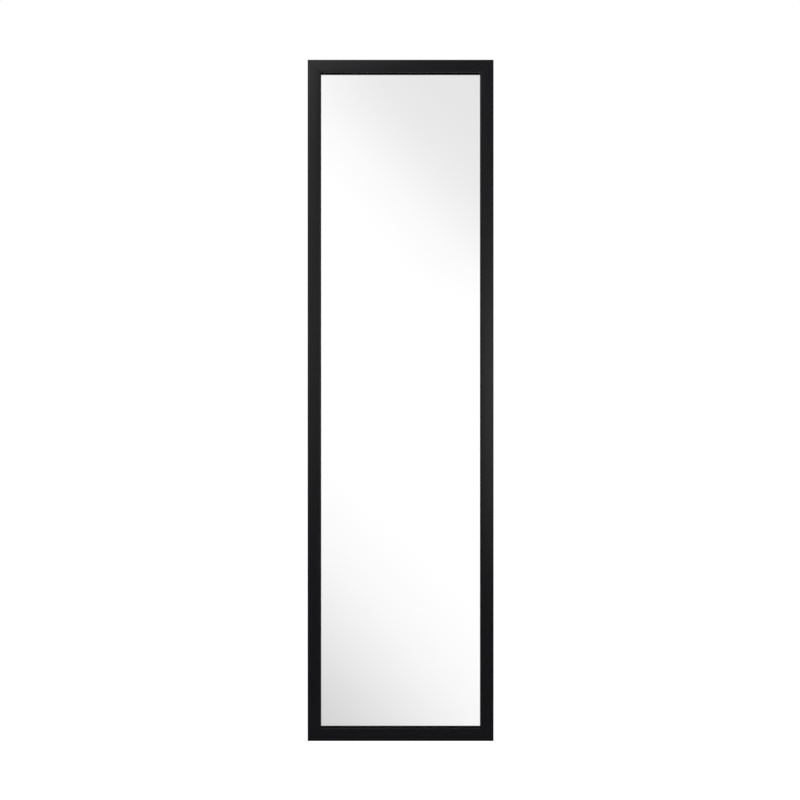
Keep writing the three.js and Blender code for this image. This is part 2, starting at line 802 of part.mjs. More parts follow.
// Middle member: each flange winds in an S between an outer and an inner ball row
function middleMember() {
  const toInner = innerRow.clone().sub(outerRow).angle();
  const bend = new THREE.Vector2(outerRow.x - raceRadius - memberBend, middleWeb);
  const upper = [
    bend,
    ...arcPoints(outerRow, raceRadius, middleBendEnd, toInner, raceSteps),
    ...arcPoints(innerRow, raceRadius, toInner - Math.PI, middleLipEnd, 2 * raceSteps).slice(1),
  ];
  const front = slideEnd - middleSetback;
  const member = runAlongSlide(bentSheet(mirroredLine(upper), slideSheet), memberRear, front);
  const back = slideBack - middleWeb + slideSheet;
  const holes = [-accessHolePlace, 0, accessHolePlace].map((x) => (
    drillAlongY(x, 0, accessHoleRadius, back, back - 2 * slideSheet)
  ));
  return cut(member, holes);
}

// Inner member: a channel open to the back, its flanges curled under the inner ball rows, with holes
// that give access to the screws behind it
function innerMember() {
  const start = arcPoints(innerRow, raceRadius, innerBendEnd, innerLipEnd, raceSteps);
  const upper = [
    new THREE.Vector2(start[0].x - memberBend - slideSheet, innerWeb),
    new THREE.Vector2(start[0].x - slideSheet / 2, innerWeb - memberBend),
    ...start,
  ];
  const member = runAlongSlide(bentSheet(mirroredLine(upper), slideSheet), memberRear, slideEnd);
  const web = slideFront + slideSheet;
  const bores = bracketScrewPlaces().map((x) => (
    drillAlongY(x, 0, bracketScrewRadius + fit, web, slideFront)
  ));
  const holes = [-accessHolePlace, 0].map((x) => drillAlongY(x, 0, accessHoleRadius, web, slideFront));
  return cut(member, [...bores, ...holes]);
}

// A ball cage: a thin folded strip with windows in its web, and its balls held in both arms
function ballCage(row, webDepth, shoulder) {
  const upper = [
    new THREE.Vector2(row.x - shoulder, webDepth),
    new THREE.Vector2(row.x, webDepth + shoulder),
    new THREE.Vector2(row.x, row.y + cageReach),
  ];
  const strip = runAlongSlide(bentSheet(mirroredLine(upper), cageSheet), -cageLength / 2, cageLength / 2);
  const balls = [];
  for (let i = 0; i < ballCount; i += 1) {
    const x = (cageLength / 2 - ballEndInset) * ((2 * i) / (ballCount - 1) - 1);
    [-1, 1].forEach((side) => {
      const ball = new THREE.SphereGeometry(ballRadius, ballSteps, ballSteps - 2);
      balls.push(ball.translate(x, slideBack - row.y, side * row.x));
    });
  }
  const windows = [];
  const windowPitch = cageLength / cageWindowCount;
  const windowHalfLength = (windowPitch * cageWindowShare) / 2;
  const windowHalfHeight = row.x - shoulder - cageWindowMargin;
  for (let i = 0; i < cageWindowCount; i += 1) {
    const x = (i - (cageWindowCount - 1) / 2) * windowPitch;
    windows.push(sheetFacingY(
      rectangle(x - windowHalfLength, -windowHalfHeight, x + windowHalfLength, windowHalfHeight, 0),
      slideBack - webDepth + overrun,
      2 * overrun,
    ));
  }
  return cut(join([strip, ...balls]), windows);
}

function rearStop() {
  const halfHeight = slideHalfHeight - stopInset;
  const outline = rectangle(
    -halfHeight, slideSheet + fit,
    halfHeight, slideDepth - slideSheet, stopCorner,
  );
  return runAlongSlide(outline, -slideEnd, -slideEnd + stopLength);
}

function rivetPlaces() {
  const rear = -slideEnd + rivetRearInset;
  const front = slideEnd - rivetFrontInset;
  const places = [];
  for (let i = 0; i < rivetCount; i += 1) {
    places.push(rear + ((front - rear) * i) / (rivetCount - 1));
  }
  return places;
}

// Flush rivet through the mounting plate and the outer member; a wider one is its hole
function rivet(clearance) {
  const radius = rivetRadius + clearance;
  const head = rivetHeadRadius + clearance;
  const back = clearance > 0 ? overrun : 0;
  const plateBack = -fit;
  const webFront = slideBack - slideSheet;
  return turned([
    [0, webFront - back],
    [head, webFront - back],
    [head, webFront],
    [radius, webFront + rivetHeadDepth],
    [radius, plateBack - rivetHeadDepth],
    [head, plateBack],
    [head, plateBack + back],
    [0, plateBack + back],
  ]);
}

// Mounting plate: folded edges, slots for the screws into the closet's side panel
function mountingPlate() {
  const parts = [sheetFacingY(
    rectangle(
      -mountPlateHalfWidth, -mountPlateHalfHeight,
      mountPlateHalfWidth, mountPlateHalfHeight, mountPlateCorner,
    ),
    0,
    mountPlateThickness,
  )];
  const flangeHalf = mountPlateHalfWidth - mountFlangeInset;
  [-1, 1].forEach((side) => {
    const outer = side * mountPlateHalfHeight;
    const inner = outer - side * mountPlateThickness;
    parts.push(sheetFacingY(
      rectangle(-flangeHalf, Math.min(outer, inner), flangeHalf, Math.max(outer, inner), 0),
      0,
      mountPlateThickness + mountFlangeDepth,
    ));
  });
  const cuts = rivetPlaces().map((x) => rivet(fit).translate(x, 0, 0));
  [-mountHoleX, mountHoleX].forEach((x) => {
    [-mountHoleZ, mountHoleZ].forEach((z) => {
      const slot = rectangle(
        x - mountSlotLength, z - mountSlotRadius,
        x + mountSlotLength, z + mountSlotRadius, mountSlotRadius,
      );
      cuts.push(sheetFacingY(slot, overrun, mountPlateThickness + 2 * overrun));
    });
  });
  return cut(join(parts), cuts);
}

// The framed mirror with the hinge plate on its back
function buildMirror() {
  const mirror = new THREE.Group();
  const halfWidth = mirrorWidth / 2;
  const halfHeight = mirrorHeight / 2;
  const sides = [
    ['stile_left', mirrorHeight, 0, -halfWidth, 0, plateScrewPlaces, [-clipSpacing, clipSpacing]],
    ['rail_top', mirrorWidth, Math.PI / 2, 0, halfHeight, [], [0]],
    ['stile_right', mirrorHeight, Math.PI, halfWidth, 0, plateScrewPlaces, [-clipSpacing, clipSpacing]],
    ['rail_bottom', mirrorWidth, -Math.PI / 2, 0, -halfHeight, [], [0]],
  ];
  sides.forEach(([name, length, turn, x, z, screws, clips]) => {
    const side = new THREE.Group();
    side.position.set(x, frameFront, z);
    side.rotation.y = turn;
    side.add(piece(`frame_${name}`, frameBar(length, screws), finish.blackFrame));
    side.add(piece(`gasket_${name}`, mitredBar(gasketSection(), length), finish.foam));
    clips.forEach((along, i) => {
      const clip = piece(`spring_clip_${name}_${i + 1}`, springClip(), finish.spring);
      clip.position.z = along - clipWidth / 2;
      side.add(clip);
    });
    if (screws.length > 0) {
      side.add(piece(`nut_strip_${name}`, nutStrip(), finish.zinc));
    }
    mirror.add(side);
  });

  const corners = [
    ['top_left', 0, -halfWidth, halfHeight],
    ['top_right', Math.PI / 2, halfWidth, halfHeight],
    ['bottom_right', Math.PI, halfWidth, -halfHeight],
    ['bottom_left', -Math.PI / 2, -halfWidth, -halfHeight],
  ];
  corners.forEach(([name, turn, x, z]) => {
    const corner = new THREE.Group();
    corner.position.set(x, frameFront, z);
    corner.rotation.y = turn;
    corner.add(piece(`corner_key_${name}`, cornerKey(), finish.castZinc));
    [[keyScrewInset, -chamberMiddle], [chamberMiddle, -keyScrewInset]].forEach(([sx, sz], i) => {
      const screw = piece(`key_screw_${name}_${i + 1}`, grubScrew(), finish.zinc);
      screw.position.set(sx, frameDepth, sz);
      corner.add(screw);
    });
    mirror.add(corner);
  });

  mirror.add(piece('mirror_pane', mirrorPane(), finish.mirror));
  mirror.add(piece('backing_board', backingBoard(), finish.board));
  mirror.add(piece('hinge_plate', hingePlate(), finish.blackSteel));
  [['left', -plateScrewX], ['right', plateScrewX]].forEach(([name, x]) => {
    plateScrewPlaces.forEach((z, i) => {
      const form = panScrew(plateScrewRadius, plateScrewLength);
      const screw = piece(`plate_screw_${name}_${i + 1}`, form, finish.zinc);
      screw.position.set(x, hingePlateBack + fit, z);
      mirror.add(screw);
    });
  });
  const buffer = piece('stow_buffer', stowBuffer(), finish.rubber);
  buffer.position.x = memberRear + bufferInset;
  mirror.add(buffer);
  return mirror;
}

// One pivot: bolt, disc spring, flanged bush and lock nut, turned over below the middle
function buildPivots() {
  const pivots = new THREE.Group();
  [['upper', 0], ['lower', Math.PI]].forEach(([name, turn]) => {
    const pivot = new THREE.Group();
    pivot.position.set(pivotX, pivotY, 0);
    pivot.rotation.x = turn;
    pivot.add(piece(`pivot_bolt_${name}`, pivotBolt(), finish.zinc));
    pivot.add(piece(`pivot_spring_${name}`, discSpring(), finish.spring));
    pivot.add(piece(`pivot_bush_${name}`, pivotBush(), finish.nylon));
    pivot.add(piece(`pivot_nut_${name}`, pivotNut(), finish.zinc));
    pivots.add(pivot);
  });
  return pivots;
}

function buildSlide() {
  const slide = new THREE.Group();
  slide.add(piece('mounting_plate', mountingPlate(), finish.blackSteel));
  slide.add(piece('slide_outer_member', outerMember(), finish.zinc));
  slide.add(piece('slide_middle_member', middleMember(), finish.zinc));
  slide.add(piece('slide_inner_member', innerMember(), finish.zinc));
  const outerCageWeb = slideSheet + fit + cageSheet / 2;
  const innerCageWeb = middleWeb + slideSheet / 2 + cageGap + cageSheet / 2;
  slide.add(piece('ball_cage_outer', ballCage(outerRow, outerCageWeb, cageShoulder), finish.bearing));
  slide.add(piece('ball_cage_inner', ballCage(innerRow, innerCageWeb, innerCageShoulder), finish.bearing));
  slide.add(piece('slide_rear_stop', rearStop(), finish.rubber));
  rivetPlaces().forEach((x, i) => {
    const pin = piece(`slide_rivet_${i + 1}`, rivet(0), finish.zinc);
    pin.position.x = x;
    slide.add(pin);
  });
  slide.add(piece('swivel_bracket', swivelBracket(), finish.blackSteel));
  bracketScrewPlaces().forEach((x, i) => {
    const form = panScrew(bracketScrewRadius, bracketScrewLength);
    const screw = piece(`bracket_screw_${i + 1}`, form, finish.zinc);
    screw.rotation.x = Math.PI;
    screw.position.set(x, bracketFront - fit, 0);
    slide.add(screw);
  });
  return slide;
}

const closetMirror = new THREE.Group();
closetMirror.add(buildMirror(), buildPivots(), buildSlide());

export default closetMirror;
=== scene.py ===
import math

import bpy
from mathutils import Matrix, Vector


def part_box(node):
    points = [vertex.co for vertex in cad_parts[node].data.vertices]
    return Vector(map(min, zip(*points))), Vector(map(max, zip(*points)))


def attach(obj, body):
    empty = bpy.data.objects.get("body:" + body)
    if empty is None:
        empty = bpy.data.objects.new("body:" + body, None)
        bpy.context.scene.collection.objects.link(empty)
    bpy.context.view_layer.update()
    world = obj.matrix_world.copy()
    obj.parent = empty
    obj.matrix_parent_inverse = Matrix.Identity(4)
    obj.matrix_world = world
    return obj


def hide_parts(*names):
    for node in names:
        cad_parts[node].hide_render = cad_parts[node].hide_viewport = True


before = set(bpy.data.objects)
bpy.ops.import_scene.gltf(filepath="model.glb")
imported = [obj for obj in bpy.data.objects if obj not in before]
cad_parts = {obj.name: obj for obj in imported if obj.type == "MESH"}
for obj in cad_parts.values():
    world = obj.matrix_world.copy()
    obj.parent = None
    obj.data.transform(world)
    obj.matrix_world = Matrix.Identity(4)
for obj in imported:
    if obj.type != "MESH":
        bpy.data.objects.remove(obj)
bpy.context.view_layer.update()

MM = 0.001
QUARTER = math.pi / 2

# Camera: its distance to the frame's front face, and how much of that plane the picture spans
CAMERA_DISTANCE = 1.9
PICTURE_SPAN = 1.4318
PICTURE_SIDE = 800
MIRROR_MIDDLE_PIXEL = (400.6, 400.4)

# Clearance of the built parts, lengths of cutters, and how near two points are one place
FIT = 0.3 * MM
OVERRUN = 1 * MM
DRILL_CUT = 20 * MM
SLOT_CUT = 10 * MM
THROUGH = 4
CLOSE = 0.02 * MM
MERGE_WITHIN = CLOSE / 10

# How finely a round is drawn, and the shares that keep two rounds on one edge from meeting
HEX_STEPS = 6
ROUND_STEPS = 48
PIVOT_STEPS = 64
CORNER_STEPS = 8
FOLD_STEPS = 6
EDGE_STEPS = 2
CAST_EDGE_STEPS = 3
SOFT_EDGE_STEPS = 4
SLOT_END_SHARE = 0.999
CORNER_SHARE = 0.98

# Degrees past which an edge is eased, and past which it stays sharp in shading
EASE_ANGLE = 40
SMOOTH_ANGLE = 32
FRAME_SMOOTH_ANGLE = 30
MEMBER_SMOOTH_ANGLE = 28

# How much more a large face counts in smooth shading, and how nearly a face looks one way
NORMAL_WEIGHT = 100
SAME_WAY_COSINE = 0.99

# Turns of a round bar
ALONG_Y = (QUARTER, 0, 0)
ALONG_Z = (0, 0, 0)

# Frame extrusion, from its outer edge inwards and from its front backwards
FRAME_DEPTH = 20 * MM
FACE_WIDTH = 23.4 * MM
FLAT_BAND = 13.4 * MM
SLOPE_DROP = 0.21 * MM
OUTER_ARRIS = 1.2 * MM
INNER_ARRIS = 1.6 * MM
LIP_DEPTH = 5 * MM
LIP_WALL = 1.8 * MM
FRAME_WALL = 1.6 * MM
CHAMBER_WIDTH = 11 * MM
RIB_WALL = 1.4 * MM
RETURN_LIP = 3 * MM
FLANGE_BACK = 2.5 * MM
CHAMBER_FRONT = 1.7 * MM
BACK_WALL = FRAME_DEPTH - FRAME_WALL
CHAMBER_MIDDLE = (FRAME_WALL + CHAMBER_WIDTH - RIB_WALL) / 2
MITRE_GAP = 0.06 * MM
OUTER_ARRIS_STEPS = 8
INNER_ARRIS_STEPS = 6
FRAME_EDGE = 0.15 * MM
FRAME_DRILL_CUT = 3 * FRAME_WALL

# Corner keys and their grub screws
KEY_NEAR = FRAME_WALL + FIT
KEY_FAR = CHAMBER_WIDTH - RIB_WALL - FIT
KEY_TIP = 2 * MM
KEY_POCKET_WALL = 1.6 * MM
KEY_POCKET_DEPTH = 10 * MM
KEY_POCKET_ROUND = 0.8 * MM
KEY_BORE_CUT = 18 * MM
KEY_EDGE = 0.5 * MM
KEY_SCREW_INSET = 30 * MM
KEY_SCREW_RADIUS = 2.5 * MM
KEY_SOCKET_RADIUS = 1.45 * MM
KEY_SOCKET_DEPTH = 2.5 * MM
GRUB_POINT = 0.6 * MM

# Pane, board, gasket, clips and the bars that the plate's screws go into
PANE_ARRIS = 0.5 * MM
BOARD_CORNER = 3 * MM
BOARD_EDGE = 0.3 * MM
GASKET_WIDTH = 8 * MM
GASKET_EDGE = 0.5 * MM
CLIP_SHEET = 0.8 * MM
CLIP_HOOK_SHARE = 1.2
CLIP_SEAT_SHARE = 2.4
CLIP_CORNER = 2 * MM
CLIP_BEND = 0.9 * MM
CLIP_EDGE = 0.12 * MM
TAPPED_BAR_EDGE = 0.4 * MM

# Screws, of which each row has three, as the rivets have
IN_A_ROW = (1, 2, 3)
SCREW_RADIUS = 2.35 * MM
SCREW_PITCH = 0.8 * MM
SCREW_THREAD_DEPTH = 0.42 * MM
THREAD_RISE_SHARE = 0.45
THREAD_CREST_SHARE = 0.6
SCREW_POINT = 0.5 * MM
SCREW_NECK = 0.6 * MM
PLATE_SCREW_LENGTH = 9 * MM
BRACKET_SCREW_LENGTH = 6.2 * MM
SCREW_FIRST_TURN = math.radians(17)
SCREW_NEXT_TURN = math.radians(41)
PAN_RADIUS = 4.5 * MM
PAN_HEIGHT = 2.6 * MM
PAN_CROWN = 1.1 * MM
PAN_RIM = 0.2 * MM
CROWN_STEPS = 6
RECESS_ARM = 2.6 * MM
RECESS_WIDTH = 1 * MM
RECESS_DEPTH = 1.9 * MM
RECESS_TAPER = (0.35, 0.7, 1)

# Hinge plate, its ears with their stop lugs, and its beads
PLATE_SHEET = 2 * MM
PLATE_CORNER = 6 * MM
PLATE_EDGE = 0.25 * MM
FLANGE_CORNER = 2 * MM
FOLD_RADIUS = 2.4 * MM
RELIEF = 1.6 * MM
PLATE_FLANGE_HALF = 150 * MM
EAR_RADIUS = 8.5 * MM
EAR_FOLD_SHARE = 0.8
WINDOW_STEPS = 12
LUG_REACH = 13.5 * MM
LUG_WIDTH = 5 * MM
LUG_LEAN = math.radians(50.27)
BEAD_HALF_LENGTH = 105 * MM
BEAD_PLACE = 45 * MM
BEAD_WIDTH = 12 * MM
BEAD_RISE = 1.5 * MM
BEAD_ROUND_SHARE = 0.9
HOLLOW_ROUND_SHARE = 0.8
BEAD_STEPS = 5

# Pivots
PIVOT_RADIUS = 3 * MM
BUSH_WALL = 1.2 * MM
BUSH_FLANGE = 7.5 * MM
BUSH_FLANGE_SHEET = 1.4 * MM
BUSH_EDGE = 0.25 * MM
BOLT_HEAD = 5.5 * MM
BOLT_HEAD_HEIGHT = 4 * MM
BOLT_SOCKET = 2.3 * MM
BOLT_SOCKET_DEPTH = 2.4 * MM
BOLT_POINT = 0.7 * MM
BOLT_EDGE = 0.3 * MM
BOLT_CROWN = 0.9 * MM
BOLT_CROWN_DROP = 0.35 * MM
NUT_RADIUS = 5.8 * MM
NUT_HEIGHT = 5 * MM
NUT_CHAMFER = 0.8 * MM
COLLAR_RADIUS = 4.6 * MM
COLLAR_HEIGHT = 1.4 * MM
COLLAR_EDGE = 0.5 * MM
SPRING_RADIUS = 5.2 * MM
SPRING_SHEET = 0.8 * MM
SPRING_EDGE = 0.12 * MM

# Swivel bracket
BRACKET_SHEET = 2.5 * MM
BRACKET_EDGE_GAP = 11 * MM
BRACKET_POST = 32 * MM
BRACKET_LEG_HALF = 16 * MM
BRACKET_FILLET = 14 * MM
BRACKET_CORNER = 5 * MM
BRACKET_RIB = 6 * MM
BRACKET_RIB_CORNER = 2.5 * MM
BRACKET_EAR_STEPS = 96
BRACKET_HOLE = 8 * MM

# Mounting plate and rivets
MOUNT_SHEET = 2.5 * MM
MOUNT_CORNER = 8 * MM
MOUNT_FLANGE_INSET = 10 * MM
MOUNT_SLOT_RADIUS = 3 * MM
MOUNT_SLOT_HALF = 6 * MM
MOUNT_SLOT_X = 126 * MM
MOUNT_SLOT_Z = 40 * MM
RIVET_RADIUS = 2.5 * MM
RIVET_HEAD = 3.9 * MM
RIVET_HEAD_DEPTH = 1 * MM
RIVET_RIM = 0.15 * MM
RIVET_EDGE = 0.05 * MM

# Slide: its section runs up from the middle and forward from the back
SLIDE_SHEET = 1.2 * MM
SLIDE_DEPTH = 12.7 * MM
SLIDE_HALF_HEIGHT = 22.75 * MM
BALL_RADIUS = 2.38 * MM
RACE_RADIUS = BALL_RADIUS + FIT + SLIDE_SHEET / 2
OUTER_ROW = (SLIDE_HALF_HEIGHT - SLIDE_SHEET / 2 - RACE_RADIUS, SLIDE_SHEET / 2 + RACE_RADIUS)
INNER_ROW_DEPTH = SLIDE_DEPTH - SLIDE_SHEET / 2 - RACE_RADIUS
ROW_STEP = math.sqrt(4 * RACE_RADIUS ** 2 - (INNER_ROW_DEPTH - OUTER_ROW[1]) ** 2)
INNER_ROW = (OUTER_ROW[0] - ROW_STEP, INNER_ROW_DEPTH)
CAGE_SHEET = 0.6 * MM
CAGE_REACH = 2 * MM
MEMBER_BEND = 1 * MM
MEMBER_BEND_ROUND = 0.7 * MM
MEMBER_BEND_STEPS = 4
MEMBER_EDGE = 0.15 * MM
MIDDLE_WEB = SLIDE_SHEET + 2 * FIT + CAGE_SHEET + SLIDE_SHEET / 2
INNER_WEB = SLIDE_DEPTH - SLIDE_SHEET / 2
OUTER_RACE = (-90, 75)
MIDDLE_RACE = (185, 60)
INNER_RACE = (165, 230)
RACE_STEP = 7
RACE_STEPS_LEAST = 6
BALL_COUNT = 7
BALL_SUBDIVISIONS = 4
BALL_END_INSET = 8 * MM
ACCESS_HOLE = 6 * MM
ACCESS_PLACE = 90 * MM
MEMBER_SLOT = 2.2 * MM
MEMBER_SLOT_HALF = 5 * MM
CAGE_WINDOWS = 3
CAGE_WINDOW_SHARE = 0.6
CAGE_WINDOW_MARGIN = 5 * MM
CAGE_WINDOW_CORNER = 2 * MM
CAGE_POCKET_FIT = 0.1 * MM
CAGE_POCKET_CUT_SHARE = 3
CAGE_EDGE = 0.08 * MM
OUTER_CAGE_SHOULDER = 0.6 * MM
INNER_CAGE_SHOULDER = 1.55 * MM
INNER_CAGE_GAP = 0.7 * MM

# Rubber stop and buffer
STOP_ROUND = 3 * MM
STOP_ROUND_STEPS = 8
STOP_EDGE = 0.7 * MM
BUFFER_BASE = 9 * MM
BUFFER_BASE_HEIGHT = 2.5 * MM
BUFFER_RADIUS = 7 * MM
BUFFER_TIP = 5 * MM
BUFFER_EDGE = 0.9 * MM
BUFFER_EDGE_STEPS = 5
BUFFER_EASE_ANGLE = 30

# Patterns: their usual detail and roughness, and the values that a finish is spread over
PATTERN_DETAIL = 3.0
PATTERN_ROUGHNESS = 0.55
PATTERN_RANGE = (0.25, 0.75)
CROSSED_RANGE = (0.12, 0.4)

# Grain of a bare metal
METAL_GRAIN = 0.5 * MM
METAL_GRAIN_BUMP = 0.05
GRAIN_DEPTH_SHARE = 1 / 6

# Lamps by name, place and side, and the even light round them
LAMP_POWER = 40
LAMPS = [
    ("key", (-1.2, -2.2, 1.6), 1.4),
    ("fill_back", (0.8, 2.2, 1.2), 1.6),
]
EVEN_LIGHT = 0.62

# Soft boxes that sheen mirrors: azimuth, elevation and spread in degrees, and strength
ROOM_SHEEN = 0.02
SOFT_BOXES = [
    (-14, 16, 9.5, 2.26),
    (-7, 24, 9.5, 2.0),
    (-7, 8, 9.5, 0.45),
    (-14, 0, 9.5, 1.74),
    (7, 0, 9.5, 0.79),
    (14, 0, 9.5, 2.6),
    (7, 8, 9.5, 0.19),
    (21, 8, 9.5, 3.86),
    (0, -50, 26, 0.7),
    (0, -90, 75, 0.9),
    (0, 90, 75, 0.35),
    (-90, 5, 55, 0.45),
    (90, 5, 55, 0.45),
    (180, 15, 85, 0.8),
]

# Wall that the mirror shows, with its tones from lower left to upper right
WALL_SLANT = (1, 0, 1)
WALL_REACH = 1.0
WALL_LIGHT = 1.09
WALL_TONES = [
    (-1.0, 0.95), (-0.5, 0.54), (-0.403, 0.54), (-0.309, 0.74), (-0.215, 0.93), (-0.094, 1.0),
    (0.067, 1.0), (0.188, 0.94), (0.269, 0.78), (0.403, 0.75), (0.5, 0.75), (1.0, 0.95),
]

# Floor
FLOOR_HEIGHT = -1.35
FLOOR_SIDE = 12
FLOOR_GLOW = 1.31
FLOOR_GLOW_SHARE = 0.6


def linear(code):
    """An sRGB hex colour as linear light."""
    channels = [int(code[i:i + 2], 16) / 255 for i in (1, 3, 5)]
    return tuple(c / 12.92 if c <= 0.04045 else ((c + 0.055) / 1.055) ** 2.4 for c in channels) + (1,)


# Modelling steps


def leave_edit():
    if bpy.context.object and bpy.context.object.mode != "OBJECT":
        bpy.ops.object.mode_set(mode="OBJECT")


def deselect_all():
    leave_edit()
    bpy.ops.object.select_all(action="DESELECT")


def activate(piece):
    deselect_all()
    piece.select_set(True)
    bpy.context.view_layer.objects.active = piece


def edit_all(piece):
    activate(piece)
    bpy.ops.object.mode_set(mode="EDIT")
    bpy.ops.mesh.select_all(action="SELECT")


def same(a, b):
    return abs(a - b) < CLOSE


def on(**places):
    """A test for points that lie at given places along some axes."""
    return lambda at: all(same(getattr(at, axis), place) for axis, place in places.items())


def choose(piece, kind, test):
    """Goes into edit mode with the points or edges selected whose every end passes a test."""
    activate(piece)
    bpy.ops.object.mode_set(mode="EDIT")
    bpy.ops.mesh.select_mode(type=kind)
    bpy.ops.mesh.select_all(action="DESELECT")
    leave_edit()
    mesh = piece.data
    if kind == "VERT":
        for point in mesh.vertices:
            point.select = test(point.co)
    else:
        for edge in mesh.edges:
            edge.select = all(test(mesh.vertices[i].co) for i in edge.vertices)
    bpy.ops.object.mode_set(mode="EDIT")


def apply_modifier(piece, kind, **settings):
    activate(piece)
    modifier = piece.modifiers.new(kind.title(), kind)
    for name, value in settings.items():
        setattr(modifier, name, value)
    bpy.ops.object.modifier_apply(modifier=modifier.name)


def face_outwards(piece):
    edit_all(piece)
    bpy.ops.mesh.remove_doubles(threshold=MERGE_WITHIN)
    bpy.ops.mesh.normals_make_consistent(inside=False)
    leave_edit()


def add_block(name, low, high):
    """A block between two corners."""
    deselect_all()
    low, high = Vector(low), Vector(high)
    bpy.ops.mesh.primitive_cube_add(size=1, location=(low + high) / 2)
    piece = bpy.context.object
    piece.name = name
    piece.scale = high - low
    bpy.ops.object.transform_apply(location=True, rotation=True, scale=True)
    return piece


def add_round_bar(name, middle, radius, length, turn=ALONG_Y, steps=ROUND_STEPS):
    """A round bar about its middle, along Y unless it is turned."""
    deselect_all()
    bpy.ops.mesh.primitive_cylinder_add(
        vertices=steps, radius=radius, depth=length, location=middle, rotation=turn,
    )
    piece = bpy.context.object
    piece.name = name
    bpy.ops.object.transform_apply(location=True, rotation=True, scale=True)
    return piece


def cut_away(piece, *cutters):
    """Takes the cutters out of a piece and throws them away."""
    for cutter in cutters:
        apply_modifier(piece, "BOOLEAN", operation="DIFFERENCE", solver="EXACT", object=cutter)
        bpy.data.objects.remove(cutter, do_unlink=True)


def weld_on(piece, *others):
    """Joins other solids to a piece."""
    for other in others:
        apply_modifier(piece, "BOOLEAN", operation="UNION", solver="EXACT", object=other)
        bpy.data.objects.remove(other, do_unlink=True)


def drill(piece, x, z, radius, y, depth=DRILL_CUT):
    """Drills along Y, half the depth to each side of y."""
    cut_away(piece, add_round_bar("drill", (x, y, z), radius, depth))


def start_point(name, spot):
    """A mesh of one point, in edit mode and selected, ready to be drawn out."""
    deselect_all()
    bpy.ops.mesh.primitive_plane_add(size=MM, location=(0, 0, 0))
    piece = bpy.context.object
    piece.name = name
    bpy.ops.object.mode_set(mode="EDIT")
    bpy.ops.mesh.select_mode(type="VERT")
    bpy.ops.mesh.select_all(action="SELECT")
    bpy.ops.mesh.merge(type="CENTER")
    bpy.ops.transform.translate(value=spot)
    return piece


def draw_out(step):
    bpy.ops.mesh.extrude_region_move(TRANSFORM_OT_translate={"value": step})


def draw_line(name, points):
    """A run of straight edges through points, still in edit mode."""
    piece = start_point(name, points[0])
    for at, to in zip(points, points[1:]):
        draw_out(Vector(to) - Vector(at))
    bpy.ops.mesh.select_all(action="SELECT")
    return piece


def round_points(piece, radius, test):
    """Rounds the free corners of a flat sheet that pass a test."""
    choose(piece, "VERT", test)
    bpy.ops.mesh.bevel(offset=radius, segments=CORNER_STEPS, affect="VERTICES")
    leave_edit()


def bevel_edges(piece, width, segments, test):
    choose(piece, "EDGE", test)
    bpy.ops.mesh.bevel(offset=width, segments=segments, affect="EDGES")
    leave_edit()


def box_outline(low_x, low_z, high_x, high_z, radius):
    """Corners (x, z, radius) of a box with one radius all round."""
    return [
        (low_x, low_z, radius), (high_x, low_z, radius),
        (high_x, high_z, radius), (low_x, high_z, radius),
    ]


def draw_sheet(name, corners, y):
    """A flat sheet at one depth, through corners (x, z, radius) that it rounds."""
    piece = draw_line(name, [(x, y, z) for x, z, _ in corners])
    bpy.ops.mesh.edge_face_add()
    leave_edit()
    for x, z, radius in corners:
        if radius > 0:
            round_points(piece, radius, on(x=x, z=z))
    return piece


def draw_prism(name, corners, back, thickness):
    """A solid with a drawn outline, from its back plane forward."""
    piece = draw_sheet(name, corners, back)
    edit_all(piece)
    draw_out((0, -thickness, 0))
    leave_edit()
    face_outwards(piece)
    return piece


def draw_flat_piece(name, points, floor, sheet):
    """A solid with an outline drawn through points (x, y), from its floor up."""
    piece = draw_line(name, [(x, y, floor) for x, y in points])
    bpy.ops.mesh.edge_face_add()
    draw_out((0, 0, sheet))
    leave_edit()
    face_outwards(piece)
    return piece


def round_slot(x, z, half_x, half_z, y, depth=SLOT_CUT):
    """A solid with round ends, about a point of a plate."""
    radius = min(half_x, half_z) * SLOT_END_SHARE
    corners = box_outline(x - half_x, z - half_z, x + half_x, z + half_z, radius)
    return draw_prism("slot", corners, y + depth / 2, depth)


def fold(piece, reach, radius, test):
    """Draws the free edges that pass a test out to a flange, and rounds the fold."""
    choose(piece, "EDGE", test)
    draw_out(reach)
    leave_edit()
    bevel_edges(piece, radius, FOLD_STEPS, test)


def thicken(piece, thickness):
    """Gives a sheet its thickness, half to each side."""
    face_outwards(piece)
    apply_modifier(piece, "SOLIDIFY", thickness=thickness, offset=0, use_even_offset=True)
    face_outwards(piece)


def turn_profile(name, profile, steps=ROUND_STEPS):
    """Spins a profile of (radius, height), closed or from axis to axis, about Z."""
    piece = draw_line(name, [(r, 0, z) for r, z in profile])
    bpy.ops.mesh.spin(steps=steps, angle=2 * math.pi, center=(0, 0, 0), axis=(0, 0, 1))
    leave_edit()
    face_outwards(piece)
    edit_all(piece)
    bpy.ops.mesh.dissolve_degenerate(threshold=MERGE_WITHIN)
    leave_edit()
    return piece


def threaded(radius, bottom, top):
    """The profile points of a threaded stretch, from its lower end up."""
    count = int((top - bottom) / SCREW_PITCH)
    points = []
    for i in range(count):
        base = bottom + i * SCREW_PITCH
        points.append((radius - SCREW_THREAD_DEPTH, base))
        points.append((radius, base + SCREW_PITCH * THREAD_RISE_SHARE))
        points.append((radius, base + SCREW_PITCH * THREAD_CREST_SHARE))
    points.append((radius - SCREW_THREAD_DEPTH, bottom + count * SCREW_PITCH))
    return points


def ease(piece, width, segments=EDGE_STEPS, angle=EASE_ANGLE):
    """Breaks all sharp edges."""
    apply_modifier(
        piece, "BEVEL", width=width, segments=segments, limit_method="ANGLE",
        angle_limit=math.radians(angle), use_clamp_overlap=True,
    )


